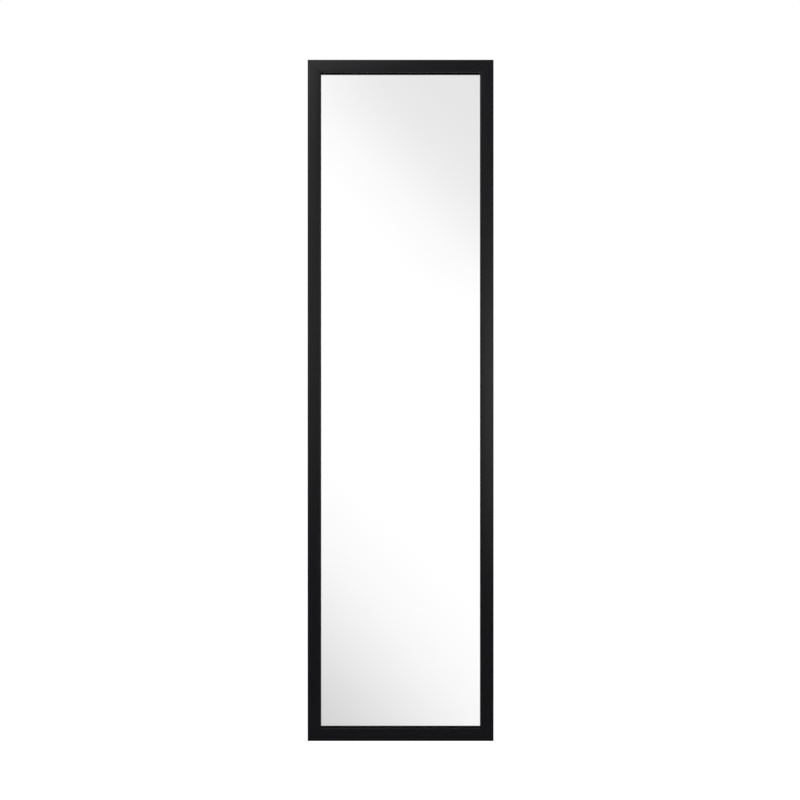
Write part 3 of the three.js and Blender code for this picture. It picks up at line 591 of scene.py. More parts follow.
def smooth(piece, angle=SMOOTH_ANGLE):
    """Smooth shading across rounds, with flat faces kept flat beside them."""
    activate(piece)
    bpy.ops.object.shade_smooth_by_angle(angle=math.radians(angle))
    apply_modifier(piece, "WEIGHTED_NORMAL", keep_sharp=True, weight=NORMAL_WEIGHT)


def copy_of(piece, name="copy"):
    twin = piece.copy()
    twin.data = piece.data.copy()
    twin.name = name
    bpy.context.scene.collection.objects.link(twin)
    return twin


def throw_away(*pieces):
    for piece in pieces:
        bpy.data.objects.remove(piece, do_unlink=True)


def put(piece, spot, turn=(0, 0, 0)):
    """Turns and moves a piece, and writes its place into its mesh."""
    activate(piece)
    piece.location = spot
    piece.rotation_euler = turn
    bpy.ops.object.transform_apply(location=True, rotation=True, scale=True)
    return piece


def finish_piece(piece, name, body, slot, *nodes):
    """Gives a piece its name, finish and body, and hides the built pieces it stands for."""
    piece.name = name
    piece.data.name = name
    piece.data.materials.clear()
    piece.data.materials.append(FINISHES[slot])
    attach(piece, body)
    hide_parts(*nodes)


def set_in_place(piece, spot, turn, name, body, slot, node, angle=SMOOTH_ANGLE):
    """Turns, moves, smooths and finishes a piece."""
    put(piece, spot, turn)
    smooth(piece, angle)
    finish_piece(piece, name, body, slot, node)


def ease_and_finish(piece, edge, name, body, slot, node, segments=EDGE_STEPS):
    """Breaks the edges of a piece that is in its place, smooths it and finishes it."""
    ease(piece, edge, segments)
    smooth(piece)
    finish_piece(piece, name, body, slot, node)


def add_second_finish(piece, finish, facing):
    """Gives the flat faces that look one way a finish of their own."""
    piece.data.materials.append(finish)
    for face in piece.data.polygons:
        if face.normal.dot(facing) > SAME_WAY_COSINE:
            face.material_index = 1


def middle_of(node):
    low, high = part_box(node)
    return (low + high) / 2


def frame_edges():
    """The frame's left, right and top edges, and its front."""
    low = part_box("frame_stile_left")[0]
    return low.x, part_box("frame_stile_right")[1].x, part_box("frame_rail_top")[1].z, low.y


# Materials


def add_node(tree, kind, inputs=None, **settings):
    """Adds a node with its settings, and gives each input, by name or place, a value or a link."""
    node = tree.nodes.new(kind)
    for name, value in settings.items():
        setattr(node, name, value)
    for key, value in (inputs or {}).items():
        if isinstance(value, bpy.types.NodeSocket):
            tree.links.new(value, node.inputs[key])
        else:
            node.inputs[key].default_value = value
    return node


def start_material(name, **sockets):
    """A material with its plain numbers set on the shader, and the piece's own coordinates."""
    material = bpy.data.materials.new(name)
    material.use_nodes = True
    tree = material.node_tree
    shader = tree.nodes["Principled BSDF"]
    for key, value in sockets.items():
        shader.inputs[key.replace("_", " ")].default_value = value
    where = add_node(tree, "ShaderNodeTexCoord").outputs["Object"]
    return material, tree, shader, where


def mottle(
    tree, where, size, detail=PATTERN_DETAIL, roughness=PATTERN_ROUGHNESS, stretch=(1, 1, 1),
):
    """A pattern whose blotches have a real size, drawn out along an axis where stretch is below 1."""
    mapped = add_node(tree, "ShaderNodeMapping", {"Vector": where, "Scale": stretch}).outputs["Vector"]
    clouds = add_node(tree, "ShaderNodeTexNoise", {
        "Vector": mapped, "Scale": 1 / size, "Detail": detail, "Roughness": roughness,
    })
    return clouds.outputs["Fac"]


def crossed(tree, fine, coarse):
    """A fine pattern broken up by a coarse one."""
    both = add_node(tree, "ShaderNodeMath", {0: fine, 1: coarse}, operation="MULTIPLY")
    low, high = CROSSED_RANGE
    spread = add_node(tree, "ShaderNodeMapRange", {
        "Value": both.outputs[0], "From Min": low, "From Max": high,
    })
    return spread.outputs["Result"]


def dress(tree, shader, colour, gloss=None, relief=None):
    """Gives a shader its colour (pattern, dark, light), and where they vary too, its roughness
    (pattern, low, high) and its relief (pattern, strength, depth)."""
    pattern, dark, light = colour
    # The Mix node's colours are its sockets 6 and 7, and come out of its socket 2
    tint = add_node(tree, "ShaderNodeMix", {
        0: pattern, 6: linear(dark), 7: linear(light),
    }, data_type="RGBA")
    tree.links.new(tint.outputs[2], shader.inputs["Base Color"])
    if gloss:
        pattern, low, high = gloss
        roughness = add_node(tree, "ShaderNodeMapRange", {
            "Value": pattern, "From Min": PATTERN_RANGE[0], "From Max": PATTERN_RANGE[1],
            "To Min": low, "To Max": high,
        })
        tree.links.new(roughness.outputs["Result"], shader.inputs["Roughness"])
    if relief:
        pattern, strength, depth = relief
        bump = add_node(tree, "ShaderNodeBump", {
            "Height": pattern, "Strength": strength, "Distance": depth,
        })
        tree.links.new(bump.outputs["Normal"], shader.inputs["Normal"])


def drifting_finish(name, clouds, tones, grain=None, gloss=None, relief=None, **sockets):
    """A material that drifts between two tones in clouds, and whose gloss (low, high) and relief
    (strength, depth) follow a finer grain. Clouds and grain are a size, detail and roughness."""
    material, tree, shader, where = start_material(name, **sockets)
    fine = mottle(tree, where, *grain) if grain else None
    dress(
        tree, shader, (mottle(tree, where, *clouds), *tones),
        gloss and (fine, *gloss), relief and (fine, *relief),
    )
    return material


def satin_black_frame():
    """Extruded aluminium under satin black powder coat: an even, faintly violet black, and a soft
    sheen broken by a very fine orange peel."""
    return drifting_finish(
        "satin_black_powder_coat_on_aluminium", clouds=(90 * MM, 2.0), tones=("#121113", "#151417"),
        grain=(1.1 * MM, 2.0), gloss=(0.17, 0.22), relief=(0.05, 0.1 * MM), Specular_IOR_Level=0.3,
    )


def dull_inside_lip():
    """The same black on the lip's wall, where the spray lands thin and dry: dead matt."""
    return drifting_finish(
        "dry_sprayed_black_lip", clouds=(90 * MM, 2.0), tones=("#121113", "#151417"),
        Specular_IOR_Level=0.05, Roughness=0.8,
    )


def clear_glass():
    """Float glass: clear, flat and colourless in its thickness."""
    return drifting_finish(
        "clear_float_glass", clouds=(260 * MM, 1.0), tones=("#fefefe", "#ffffff"),
        Transmission_Weight=1.0, IOR=1.52, Roughness=0.0,
    )


def silver_back():
    """Silver deposited on the glass: a bright neutral mirror."""
    return drifting_finish(
        "silvered_mirror_back", clouds=(180 * MM, 2.0), tones=("#fdfdfd", "#fefefe"),
        Metallic=1.0, Roughness=0.0,
    )


def zinc_plated_sheet():
    """Rolled steel under bright zinc: a cool grey with long faint streaks from the rolls."""
    material, tree, shader, where = start_material("zinc_plated_rolled_steel", Metallic=1.0)
    streaks = mottle(tree, where, 0.9 * MM, detail=4.0, roughness=0.6, stretch=(0.02, 1, 1))
    blotches = mottle(tree, where, 14 * MM)
    dress(
        tree, shader, colour=(crossed(tree, streaks, blotches), "#9ca1a8", "#bfc3c8"),
        gloss=(streaks, 0.24, 0.38), relief=(streaks, 0.05, 0.05 * MM),
    )
    return material


def bare_metal(name, blotch, tones, gloss, grain=METAL_GRAIN, bump=METAL_GRAIN_BUMP):
    """A metal surface with soft blotches and an even fine grain."""
    return drifting_finish(
        name, clouds=(blotch,), tones=tones, grain=(grain,), gloss=gloss,
        relief=(bump, grain * GRAIN_DEPTH_SHARE), Metallic=1.0,
    )


def black_powder_coat():
    """Pressed steel under black powder coat: a deep grey black with a pebbled, half-dull skin."""
    return drifting_finish(
        "black_powder_coat_on_steel", clouds=(40 * MM, 2.0), tones=("#1d1d1f", "#252528"),
        grain=(0.8 * MM, 2.0, 0.5), gloss=(0.4, 0.55), relief=(0.3, 0.12 * MM),
        Specular_IOR_Level=0.45,
    )


def hardboard_back():
    """Black-faced hardboard: pressed wood fibres under a thin dull black stain."""
    material, tree, shader, where = start_material("black_faced_hardboard", Specular_IOR_Level=0.25)
    fibres = mottle(tree, where, 2.2 * MM, detail=5.0, roughness=0.65, stretch=(1, 1, 0.35))
    clouds = mottle(tree, where, 60 * MM)
    dress(
        tree, shader, colour=(crossed(tree, fibres, clouds), "#1f1b19", "#352e29"),
        gloss=(fibres, 0.65, 0.85), relief=(fibres, 0.35, 0.15 * MM),
    )
    return material


def foam_gasket():
    """Closed-cell foam tape: dull black with small pores."""
    material, tree, shader, where = start_material("black_closed_cell_foam", Specular_IOR_Level=0.2)
    cells = add_node(tree, "ShaderNodeTexVoronoi", {"Vector": where, "Scale": 1 / (0.7 * MM)})
    walls = cells.outputs["Distance"]
    dress(
        tree, shader, colour=(walls, "#262628", "#131314"),
        gloss=(walls, 0.85, 0.95), relief=(walls, 0.5, 0.15 * MM),
    )
    return material


def natural_nylon():
    """Moulded nylon: milky off-white, a little waxy."""
    return drifting_finish(
        "natural_moulded_nylon", clouds=(5 * MM, 2.0), tones=("#d6d3c8", "#e0ded5"),
        grain=(0.6 * MM, 2.0), gloss=(0.38, 0.5),
        Subsurface_Weight=0.15, Subsurface_Scale=1 * MM, IOR=1.53,
    )


def moulded_rubber():
    """Moulded rubber: dull black with a dusty bloom and a fine grain."""
    return drifting_finish(
        "black_moulded_rubber", clouds=(4 * MM, 4.0), tones=("#161617", "#242426"),
        grain=(0.35 * MM, 2.0), gloss=(0.6, 0.75), relief=(0.25, 0.05 * MM),
        Specular_IOR_Level=0.35,
    )


FINISHES = {
    "frame_black": satin_black_frame(),
    "mirror_glass": clear_glass(),
    "foam": foam_gasket(),
    "hardboard": hardboard_back(),
    "slide_steel": zinc_plated_sheet(),
    "black_steel": black_powder_coat(),
    "nylon": natural_nylon(),
    "black_rubber": moulded_rubber(),
    # Hardened strip: a grey that warms where it was heated, half bright
    "spring_steel": bare_metal(
        "tempered_spring_steel", blotch=9 * MM, tones=("#85868a", "#a09d99"), gloss=(0.24, 0.34),
    ),
    # Small hardware under bright zinc: pale, cool and quite bright
    "zinc_plate": bare_metal(
        "bright_zinc_plate", blotch=3 * MM, tones=("#a6abb2", "#bcc1c6"), gloss=(0.2, 0.3),
    ),
    # Zinc as it leaves the die: darker, dull and finely pitted
    "cast_key": bare_metal(
        "die_cast_zinc", blotch=4 * MM, tones=("#7b7e83", "#94979b"), gloss=(0.42, 0.55),
        grain=0.7 * MM, bump=0.2,
    ),
    # Ground balls: nearly white and very bright
    "bearing_steel": bare_metal(
        "polished_bearing_steel", blotch=2 * MM, tones=("#c4c7cb", "#d2d5d8"), gloss=(0.08, 0.14),
    ),
}


# Frame


def mitre(piece, half):
    """Cuts both ends of a bar along Z at 45 degrees, longest at its outer edge."""
    for side in (-1, 1):
        edit_all(piece)
        bpy.ops.mesh.bisect(
            plane_co=(0, 0, side * half), plane_no=(1, 0, side), clear_outer=True, use_fill=True,
        )
        leave_edit()


def bar_blank(length, screw_places):
    """One mitred length of the extrusion: outer edge at X = 0, front at Y = 0, middle at Z = 0."""
    half = length / 2
    bar = add_block("bar", (0, 0, -half), (FACE_WIDTH, FRAME_DEPTH, half))
    mitre(bar, half - MITRE_GAP)
    edit_all(bar)
    bpy.ops.mesh.bisect(plane_co=(FLAT_BAND, 0, 0), plane_no=(1, 0, 0))
    choose(bar, "VERT", on(x=FACE_WIDTH, y=0))
    bpy.ops.transform.translate(value=(0, SLOPE_DROP, 0))
    leave_edit()
    beyond = FACE_WIDTH + OVERRUN
    behind = FRAME_DEPTH + OVERRUN
    rib = CHAMBER_WIDTH - RIB_WALL
    lip = FACE_WIDTH - LIP_WALL
    cut_away(
        bar,
        add_block("rabbet", (CHAMBER_WIDTH, FLANGE_BACK, -half), (lip, BACK_WALL, half)),
        add_block("under_lip", (lip - OVERRUN, LIP_DEPTH, -half), (beyond, behind, half)),
        add_block("open_back", (CHAMBER_WIDTH + RETURN_LIP, LIP_DEPTH, -half), (beyond, behind, half)),
        add_block("chamber", (FRAME_WALL, CHAMBER_FRONT, -half), (rib, BACK_WALL, half)),
    )
    bevel_edges(bar, OUTER_ARRIS, OUTER_ARRIS_STEPS, on(x=0, y=0))
    bevel_edges(bar, INNER_ARRIS, INNER_ARRIS_STEPS, on(x=FACE_WIDTH, y=SLOPE_DROP))
    for along in (KEY_SCREW_INSET - half, half - KEY_SCREW_INSET):
        drill(bar, CHAMBER_MIDDLE, along, KEY_SCREW_RADIUS + FIT, FRAME_DEPTH, FRAME_DRILL_CUT)
    for along in screw_places:
        drill(bar, CHAMBER_MIDDLE, along, SCREW_RADIUS + FIT, FRAME_DEPTH, FRAME_DRILL_CUT)
    ease(bar, FRAME_EDGE)
    return bar


def gasket_blank(length):
    """A mitred strip of foam tape, its long edges pressed round."""
    inner = FACE_WIDTH - LIP_WALL - FIT
    half = length / 2
    strip = add_block(
        "strip", (inner - GASKET_WIDTH, FLANGE_BACK + FIT, -half), (inner, LIP_DEPTH, half),
    )
    mitre(strip, half - FIT / 2)
    ease(strip, GASKET_EDGE, SOFT_EDGE_STEPS)
    return strip


def clip_blank():
    """A spring clip bent from strip: hooked under the return lip and bowed down to a turned-up toe."""
    left, _, _, front = frame_edges()
    low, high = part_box("spring_clip_stile_left_1")
    start = low.x - left
    end = high.x - left
    hook = BACK_WALL - FIT - CLIP_SHEET / 2
    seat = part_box("backing_board")[1].y + FIT + CLIP_SHEET / 2 - front
    half = (high.z - low.z) / 2
    line = [
        (start, hook),
        (start + CLIP_HOOK_SHARE * RETURN_LIP, hook),
        (end - CLIP_SEAT_SHARE * RETURN_LIP, seat),
        (end - RETURN_LIP, seat),
        (end, seat + 2 * CLIP_SHEET),
    ]
    clip = draw_line("clip", [(start, hook, -half), (start, hook, half)])
    for (x, y), (to_x, to_y) in zip(line, line[1:]):
        draw_out((to_x - x, to_y - y, 0))
    leave_edit()
    round_points(clip, CLIP_CORNER, on(x=end))
    for x, y in line[1:-1]:
        bevel_edges(clip, CLIP_BEND, FOLD_STEPS, on(x=x, y=y))
    thicken(clip, CLIP_SHEET)
    ease(clip, CLIP_EDGE)
    return clip


def strip_blank(places):
    """A flat bar for the stile's chamber with a tapped hole behind each plate screw."""
    left, _, _, front = frame_edges()
    low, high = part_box("nut_strip_stile_left")
    offset = Vector((left, front, 0))
    strip = add_block("strip", low - offset, high - offset)
    for along in places:
        drill(strip, CHAMBER_MIDDLE, along, SCREW_RADIUS + FIT, BACK_WALL)
    ease(strip, TAPPED_BAR_EDGE)
    return strip


def make_mirror_sides():
    """Stiles and rails with their gaskets, clips and tapped bars, each turned to its side."""
    left, right, top, front = frame_edges()
    screws = [middle_of(f"plate_screw_left_{i}").z for i in IN_A_ROW]
    clip_places = {
        "stile": [middle_of(f"spring_clip_stile_left_{i}").z for i in (1, 2)],
        "rail": [0],
    }
    shapes = {
        "stile": (bar_blank(2 * top, screws), gasket_blank(2 * top)),
        "rail": (bar_blank(right - left, []), gasket_blank(right - left)),
    }
    clip = clip_blank()
    strip = strip_blank(screws)
    lip_finish = dull_inside_lip()
    sides = [
        ("stile_left", (left, front, 0), 0),
        ("rail_top", (0, front, top), QUARTER),
        ("stile_right", (right, front, 0), math.pi),
        ("rail_bottom", (0, front, -top), -QUARTER),
    ]
    for side, spot, angle in sides:
        kind = side.split("_")[0]
        turn = (0, angle, 0)
        bar, gasket = (copy_of(blank) for blank in shapes[kind])
        set_in_place(
            bar, spot, turn, f"{side}_extrusion", "mirror", "frame_black", f"frame_{side}",
            FRAME_SMOOTH_ANGLE,
        )
        add_second_finish(bar, lip_finish, (math.cos(angle), 0, -math.sin(angle)))
        set_in_place(
            gasket, spot, turn, f"{side}_foam_strip", "mirror", "foam", f"gasket_{side}",
        )
        for i, along in enumerate(clip_places[kind]):
            one = put(copy_of(clip), (0, 0, along))
            set_in_place(
                one, spot, turn, f"{side}_clip_{i + 1}", "mirror", "spring_steel",
                f"spring_clip_{side}_{i + 1}",
            )
        if kind == "stile":
            one = copy_of(strip)
            set_in_place(
                one, spot, turn, f"{side}_tapped_bar", "mirror", "zinc_plate", f"nut_strip_{side}",
            )
    throw_away(*shapes["stile"], *shapes["rail"], clip, strip)


def key_blank():
    """A die-cast angle with chamfered tips, a pocket in each leg and the grub screws' bores."""
    left, _, _, frame_front = frame_edges()
    low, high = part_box("corner_key_top_left")
    leg = high.x - left
    near, far, tip = KEY_NEAR, KEY_FAR, KEY_TIP
    front, back = low.y - frame_front, high.y - frame_front
    key = draw_prism("key", [
        (near, -near, 0), (near, -leg + tip, 0), (near + tip, -leg, 0), (far - tip, -leg, 0),
        (far, -leg + tip, 0), (far, -far, 0), (leg - tip, -far, 0), (leg, -far + tip, 0),
        (leg, -near - tip, 0), (leg - tip, -near, 0),
    ], back, back - front)
    bore = KEY_SCREW_RADIUS + FIT
    first = far + KEY_POCKET_WALL
    last = KEY_SCREW_INSET - bore - KEY_POCKET_WALL
    side = near + KEY_POCKET_WALL
    other = far - KEY_POCKET_WALL
    start = front - OVERRUN
    floor = front + KEY_POCKET_DEPTH
    for low_spot, high_spot in (
        ((first, start, -other), (last, floor, -side)),
        ((side, start, -last), (other, floor, -first)),
    ):
        pocket = add_block("pocket", low_spot, high_spot)
        bevel_edges(pocket, KEY_POCKET_ROUND, SOFT_EDGE_STEPS, lambda at: True)
        cut_away(key, pocket)
    drill(key, KEY_SCREW_INSET, -CHAMBER_MIDDLE, bore, back, KEY_BORE_CUT)
    drill(key, CHAMBER_MIDDLE, -KEY_SCREW_INSET, bore, back, KEY_BORE_CUT)
    ease(key, KEY_EDGE, CAST_EDGE_STEPS)
    return key


def grub_screw_blank(length):
    """A grub screw along Z, the mouth of its socket at Z = 0."""
    radius = KEY_SCREW_RADIUS
    flat = radius - GRUB_POINT
    screw = turn_profile("grub", [
        (0, -length), (flat, -length),
        *threaded(radius, GRUB_POINT / 2 - length, -GRUB_POINT / 2),
        (flat, 0), (0, 0),
    ])
    cut_away(screw, add_round_bar(
        "socket", (0, 0, 0), KEY_SOCKET_RADIUS, 2 * KEY_SOCKET_DEPTH, ALONG_Z, HEX_STEPS,
    ))
    return screw


def make_corners():
    left, right, top, front = frame_edges()
    key = key_blank()
    screw_low, screw_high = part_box("key_screw_top_left_1")
    screw = grub_screw_blank(screw_high.y - screw_low.y)
    corners = [
        ("top_left", 0, left, top),
        ("top_right", QUARTER, right, top),
        ("bottom_right", math.pi, right, -top),
        ("bottom_left", -QUARTER, left, -top),
    ]
    for corner, turn, x, z in corners:
        set_in_place(
            copy_of(key), (x, front, z), (0, turn, 0),
            f"{corner}_cast_key", "mirror", "cast_key", f"corner_key_{corner}",
        )
        for i in (1, 2):
            node = f"key_screw_{corner}_{i}"
            place = middle_of(node)
            set_in_place(
                copy_of(screw), (place.x, screw_high.y, place.z), (-QUARTER, 0, 0),
                f"{corner}_grub_screw_{i}", "mirror", "zinc_plate", node,
            )
    throw_away(key, screw)


def make_pane():
    """Glass with ground arrises, silvered on its back face."""
    low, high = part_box("mirror_pane")
    pane = add_block("pane", low, high)
    ease_and_finish(pane, PANE_ARRIS, "silvered_pane", "mirror", "mirror_glass", "mirror_pane")
    add_second_finish(pane, silver_back(), (0, 1, 0))


def make_board():
    low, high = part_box("backing_board")
    corners = box_outline(low.x, low.z, high.x, high.z, BOARD_CORNER)
    board = draw_prism("board", corners, high.y, high.y - low.y)
    ease_and_finish(
        board, BOARD_EDGE, "hardboard_back_panel", "mirror", "hardboard", "backing_board",
    )


# Screws


def pan_screw_blank(length):
    """A pan-head screw along Z, its head up and the underside of its head at Z = 0."""
    radius = SCREW_RADIUS
    side = PAN_HEIGHT - PAN_CROWN
    crown = [
        (PAN_RADIUS - PAN_CROWN * (1 - math.cos(a)), side + PAN_CROWN * math.sin(a))
        for a in (QUARTER * i / CROWN_STEPS for i in range(CROWN_STEPS + 1))
    ]
    screw = turn_profile("screw", [
        (0, -length), (radius - SCREW_POINT - SCREW_THREAD_DEPTH / 2, -length),
        *threaded(radius, SCREW_POINT - length, -SCREW_NECK),
        (radius, -SCREW_NECK / 2), (radius, 0), (PAN_RADIUS - PAN_RIM, 0), (PAN_RADIUS, PAN_RIM),
        *crown, (0, PAN_HEIGHT),
    ])
    for turn in (0, QUARTER):
        arm = add_block(
            "recess",
            (-RECESS_ARM, -RECESS_WIDTH / 2, PAN_HEIGHT - RECESS_DEPTH),
            (RECESS_ARM, RECESS_WIDTH / 2, PAN_HEIGHT + OVERRUN),
        )
        choose(arm, "VERT", lambda at: at.z < PAN_HEIGHT)
        bpy.ops.transform.resize(value=RECESS_TAPER)
        leave_edit()
        cut_away(screw, put(arm, (0, 0, 0), (0, 0, turn)))
    return screw


def make_screws():
    plate_screws = [f"plate_screw_{side}_{i}" for side in ("left", "right") for i in IN_A_ROW]
    bracket_screws = [f"bracket_screw_{i}" for i in IN_A_ROW]
    lots = [
        (plate_screws, PLATE_SCREW_LENGTH, -1, "mirror"),
        (bracket_screws, BRACKET_SCREW_LENGTH, 1, "carriage"),
    ]
    for nodes, length, way, body in lots:
        blank = pan_screw_blank(length)
        for i, node in enumerate(nodes):
            low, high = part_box(node)
            under_head = high.y - PAN_HEIGHT if way < 0 else low.y + PAN_HEIGHT
            place = middle_of(node)
            turned = SCREW_FIRST_TURN + i * SCREW_NEXT_TURN
            one = put(copy_of(blank), (0, 0, 0), (0, 0, turned))
            set_in_place(
                one, (place.x, under_head, place.z), (way * QUARTER, 0, 0),
                f"{node}_cross_head", body, "zinc_plate", node,
            )
        throw_away(blank)


# Pressed plates


def flanged_sheet(name, half_x, half_z, corner, flange_half, flange_y, middle_y, sheet, bend):
    """A sheet with rounded corners and folded long edges, with a relief at each fold's ends."""
    fold_z = half_z - sheet / 2
    notch_z = fold_z - bend - RELIEF / 2
    relief_x = flange_half + RELIEF
    corners = []
    for sx, sz in ((1, -1), (1, 1), (-1, 1), (-1, -1)):
        lobe = [
            (sx * flange_half, sz * fold_z, 0),
            (sx * flange_half, sz * notch_z, 0),
            (sx * relief_x, sz * notch_z, 0),
            (sx * relief_x, sz * half_z, 0),
            (sx * half_x, sz * half_z, min(corner, half_x - relief_x) * CORNER_SHARE),
        ]
        corners += lobe if sx * sz < 0 else lobe[::-1]
    plate = draw_sheet(name, corners, middle_y)
    for side in (-1, 1):
        fold(plate, (0, flange_y - middle_y, 0), bend, lambda at: (
            same(at.z, side * fold_z) and same(at.y, middle_y) and abs(at.x) < flange_half + CLOSE
        ))
    round_points(plate, FLANGE_CORNER, on(y=flange_y))
    thicken(plate, sheet)
    return plate


def pivot_spot():
    place = middle_of("pivot_bolt_upper")
    return Vector((place.x, place.y, 0))


def press_bead(plate, z, back):
    """A long stiffening bead, proud of the plate's back and hollow in its front."""
    bead = round_slot(0, z, BEAD_HALF_LENGTH, BEAD_WIDTH / 2, back, 2 * BEAD_RISE)
    bevel_edges(bead, BEAD_RISE * BEAD_ROUND_SHARE, BEAD_STEPS, on(y=back + BEAD_RISE))
    weld_on(plate, bead)
    half_x = BEAD_HALF_LENGTH - PLATE_SHEET
    front = back - PLATE_SHEET
    hollow = round_slot(0, z, half_x, BEAD_WIDTH / 2 - PLATE_SHEET, front, 2 * BEAD_RISE)
    bevel_edges(hollow, BEAD_RISE * HOLLOW_ROUND_SHARE, BEAD_STEPS, on(y=front + BEAD_RISE))
    cut_away(plate, hollow)


def lance_ear(plate, side, pivot, back, floor, ceiling):
    """Cuts an ear's flat pattern out of the plate and stands the ear up on its fold."""
    gap = EAR_RADIUS + FIT
    reach = pivot.y - back
    front = back - PLATE_SHEET
    outer, inner = side * ceiling, side * (floor - reach - gap)
    window = add_block(
        "window", (pivot.x - gap, front - OVERRUN, min(outer, inner)),
        (pivot.x + gap, back + OVERRUN, max(outer, inner)),
    )
    for x in (pivot.x - gap, pivot.x + gap):
        bevel_edges(window, EAR_RADIUS, WINDOW_STEPS, on(x=x, z=inner))
    lug_half = LUG_WIDTH / 2 + FIT
    lug_window = add_block(
        "lug_window", (0, -PLATE_SHEET - OVERRUN, -lug_half), (LUG_REACH + FIT, OVERRUN, lug_half),
    )
    put(lug_window, (pivot.x, back, side * (floor - reach)), (0, side * LUG_LEAN, 0))
    cut_away(plate, window, lug_window)
    low_z = floor if side > 0 else -ceiling
    sheet = ceiling - floor
    ear = add_block(
        "ear", (pivot.x - EAR_RADIUS, front, low_z), (pivot.x + EAR_RADIUS, pivot.y, low_z + sheet),
    )
    bevel_edges(ear, FOLD_RADIUS * EAR_FOLD_SHARE, FOLD_STEPS, on(z=side * floor, y=front))
    lug = add_block("lug", (0, -LUG_WIDTH / 2, low_z), (LUG_REACH, LUG_WIDTH / 2, low_z + sheet))
    put(lug, (pivot.x, pivot.y, 0), (0, 0, LUG_LEAN))
    middle = (pivot.x, pivot.y, low_z + sheet / 2)
    weld_on(ear, add_round_bar("ear_end", middle, EAR_RADIUS, sheet, ALONG_Z, PIVOT_STEPS), lug)
    weld_on(plate, ear)
    bore = PIVOT_RADIUS + FIT + BUSH_WALL + FIT
    cut_away(plate, add_round_bar("bore", middle, bore, THROUGH * sheet, ALONG_Z))


def make_hinge_plate():
    low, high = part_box("hinge_plate")
    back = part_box("plate_screw_left_1")[1].y - PAN_HEIGHT - FIT
    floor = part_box("pivot_bush_upper")[0].z
    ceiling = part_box("pivot_bush_upper")[1].z - BUSH_FLANGE_SHEET - FIT
    plate = flanged_sheet(
        "plate", high.x, high.z, PLATE_CORNER, PLATE_FLANGE_HALF, low.y,
        back - PLATE_SHEET / 2, PLATE_SHEET, FOLD_RADIUS,
    )
    for side in (-1, 1):
        press_bead(plate, side * BEAD_PLACE, back)
        lance_ear(plate, side, pivot_spot(), back, floor, ceiling)
    for side in ("left", "right"):
        for i in IN_A_ROW:
            place = middle_of(f"plate_screw_{side}_{i}")
            drill(plate, place.x, place.z, SCREW_RADIUS + FIT, back)
    ease_and_finish(
        plate, PLATE_EDGE, "pressed_hinge_plate", "mirror", "black_steel", "hinge_plate",
    )


def make_mounting_plate():
    low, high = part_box("mounting_plate")
    plate = flanged_sheet(
        "plate", high.x, high.z, MOUNT_CORNER, high.x - MOUNT_FLANGE_INSET, low.y,
        high.y - MOUNT_SHEET / 2, MOUNT_SHEET, FOLD_RADIUS,
    )
    for x in (-MOUNT_SLOT_X, MOUNT_SLOT_X):
        for z in (-MOUNT_SLOT_Z, MOUNT_SLOT_Z):
            cut_away(plate, round_slot(x, z, MOUNT_SLOT_HALF, MOUNT_SLOT_RADIUS, high.y))
    for i in IN_A_ROW:
        cut_away(plate, rivet_cutter(i))
    ease_and_finish(
        plate, PLATE_EDGE, "folded_mounting_plate", "panel_mount", "black_steel", "mounting_plate",
    )


# Swivel bracket


def bracket_half(side, rear, post, edge, rib_x, rib_start, rib_end, fold_z):
    """The outline's corners above or below the middle, from the leg's rear to the post's edge."""
    leg = BRACKET_LEG_HALF
    notch_x = post + BRACKET_SHEET + FOLD_RADIUS
    return [
        (rear, side * leg, BRACKET_CORNER),
        (post, side * leg, BRACKET_FILLET * CORNER_SHARE),
        (post, side * rib_start, 0),
        (rib_x, side * rib_start, 0),
        (rib_x, side * rib_end, 0),
        (notch_x, side * rib_end, 0),
        (notch_x, side * (rib_end + RELIEF), 0),
        (post, side * (rib_end + RELIEF), 0),
        (post, side * fold_z, 0),
        (edge, side * fold_z, 0),
    ]


def add_bracket_ear(bracket, side, pivot, post, edge, back, fold_end, top):
    """Carries a folded edge on to the round end over the pivot, and trims it along the tangent."""
    sheet = BRACKET_SHEET
    floor = top - sheet if side > 0 else -top
    tangent = Vector((post - pivot.x, fold_end - pivot.y))
    lean = math.atan2(tangent.y, tangent.x) + math.acos(EAR_RADIUS / tangent.length)
    touch = Vector((pivot.x + EAR_RADIUS * math.cos(lean), pivot.y + EAR_RADIUS * math.sin(lean)))
    slope = (touch.y - fold_end) / (touch.x - post)
    start_x, end_x = post - OVERRUN, edge + OVERRUN
    start_y, end_y = fold_end - slope * OVERRUN, fold_end + slope * (end_x - post)
    cut_away(bracket, draw_flat_piece("trim", [
        (start_x, start_y - 2 * EAR_RADIUS), (end_x, end_y - 2 * EAR_RADIUS),
        (end_x, end_y), (start_x, start_y),
    ], floor - sheet, 3 * sheet))
    inside = edge - sheet
    ear = draw_flat_piece("ear", [
        (inside, fold_end + slope * (inside - post)), (touch.x, touch.y), (pivot.x, pivot.y),
        (pivot.x, pivot.y + EAR_RADIUS), (edge + RELIEF, back), (edge, fold_end), (inside, fold_end),
    ], floor, sheet)
    middle = (pivot.x, pivot.y, floor + sheet / 2)
    weld_on(ear, add_round_bar("ear_end", middle, EAR_RADIUS, sheet, ALONG_Z, BRACKET_EAR_STEPS))
    weld_on(bracket, ear)
    cut_away(bracket, add_round_bar("bore", middle, PIVOT_RADIUS + FIT, THROUGH * sheet, ALONG_Z))


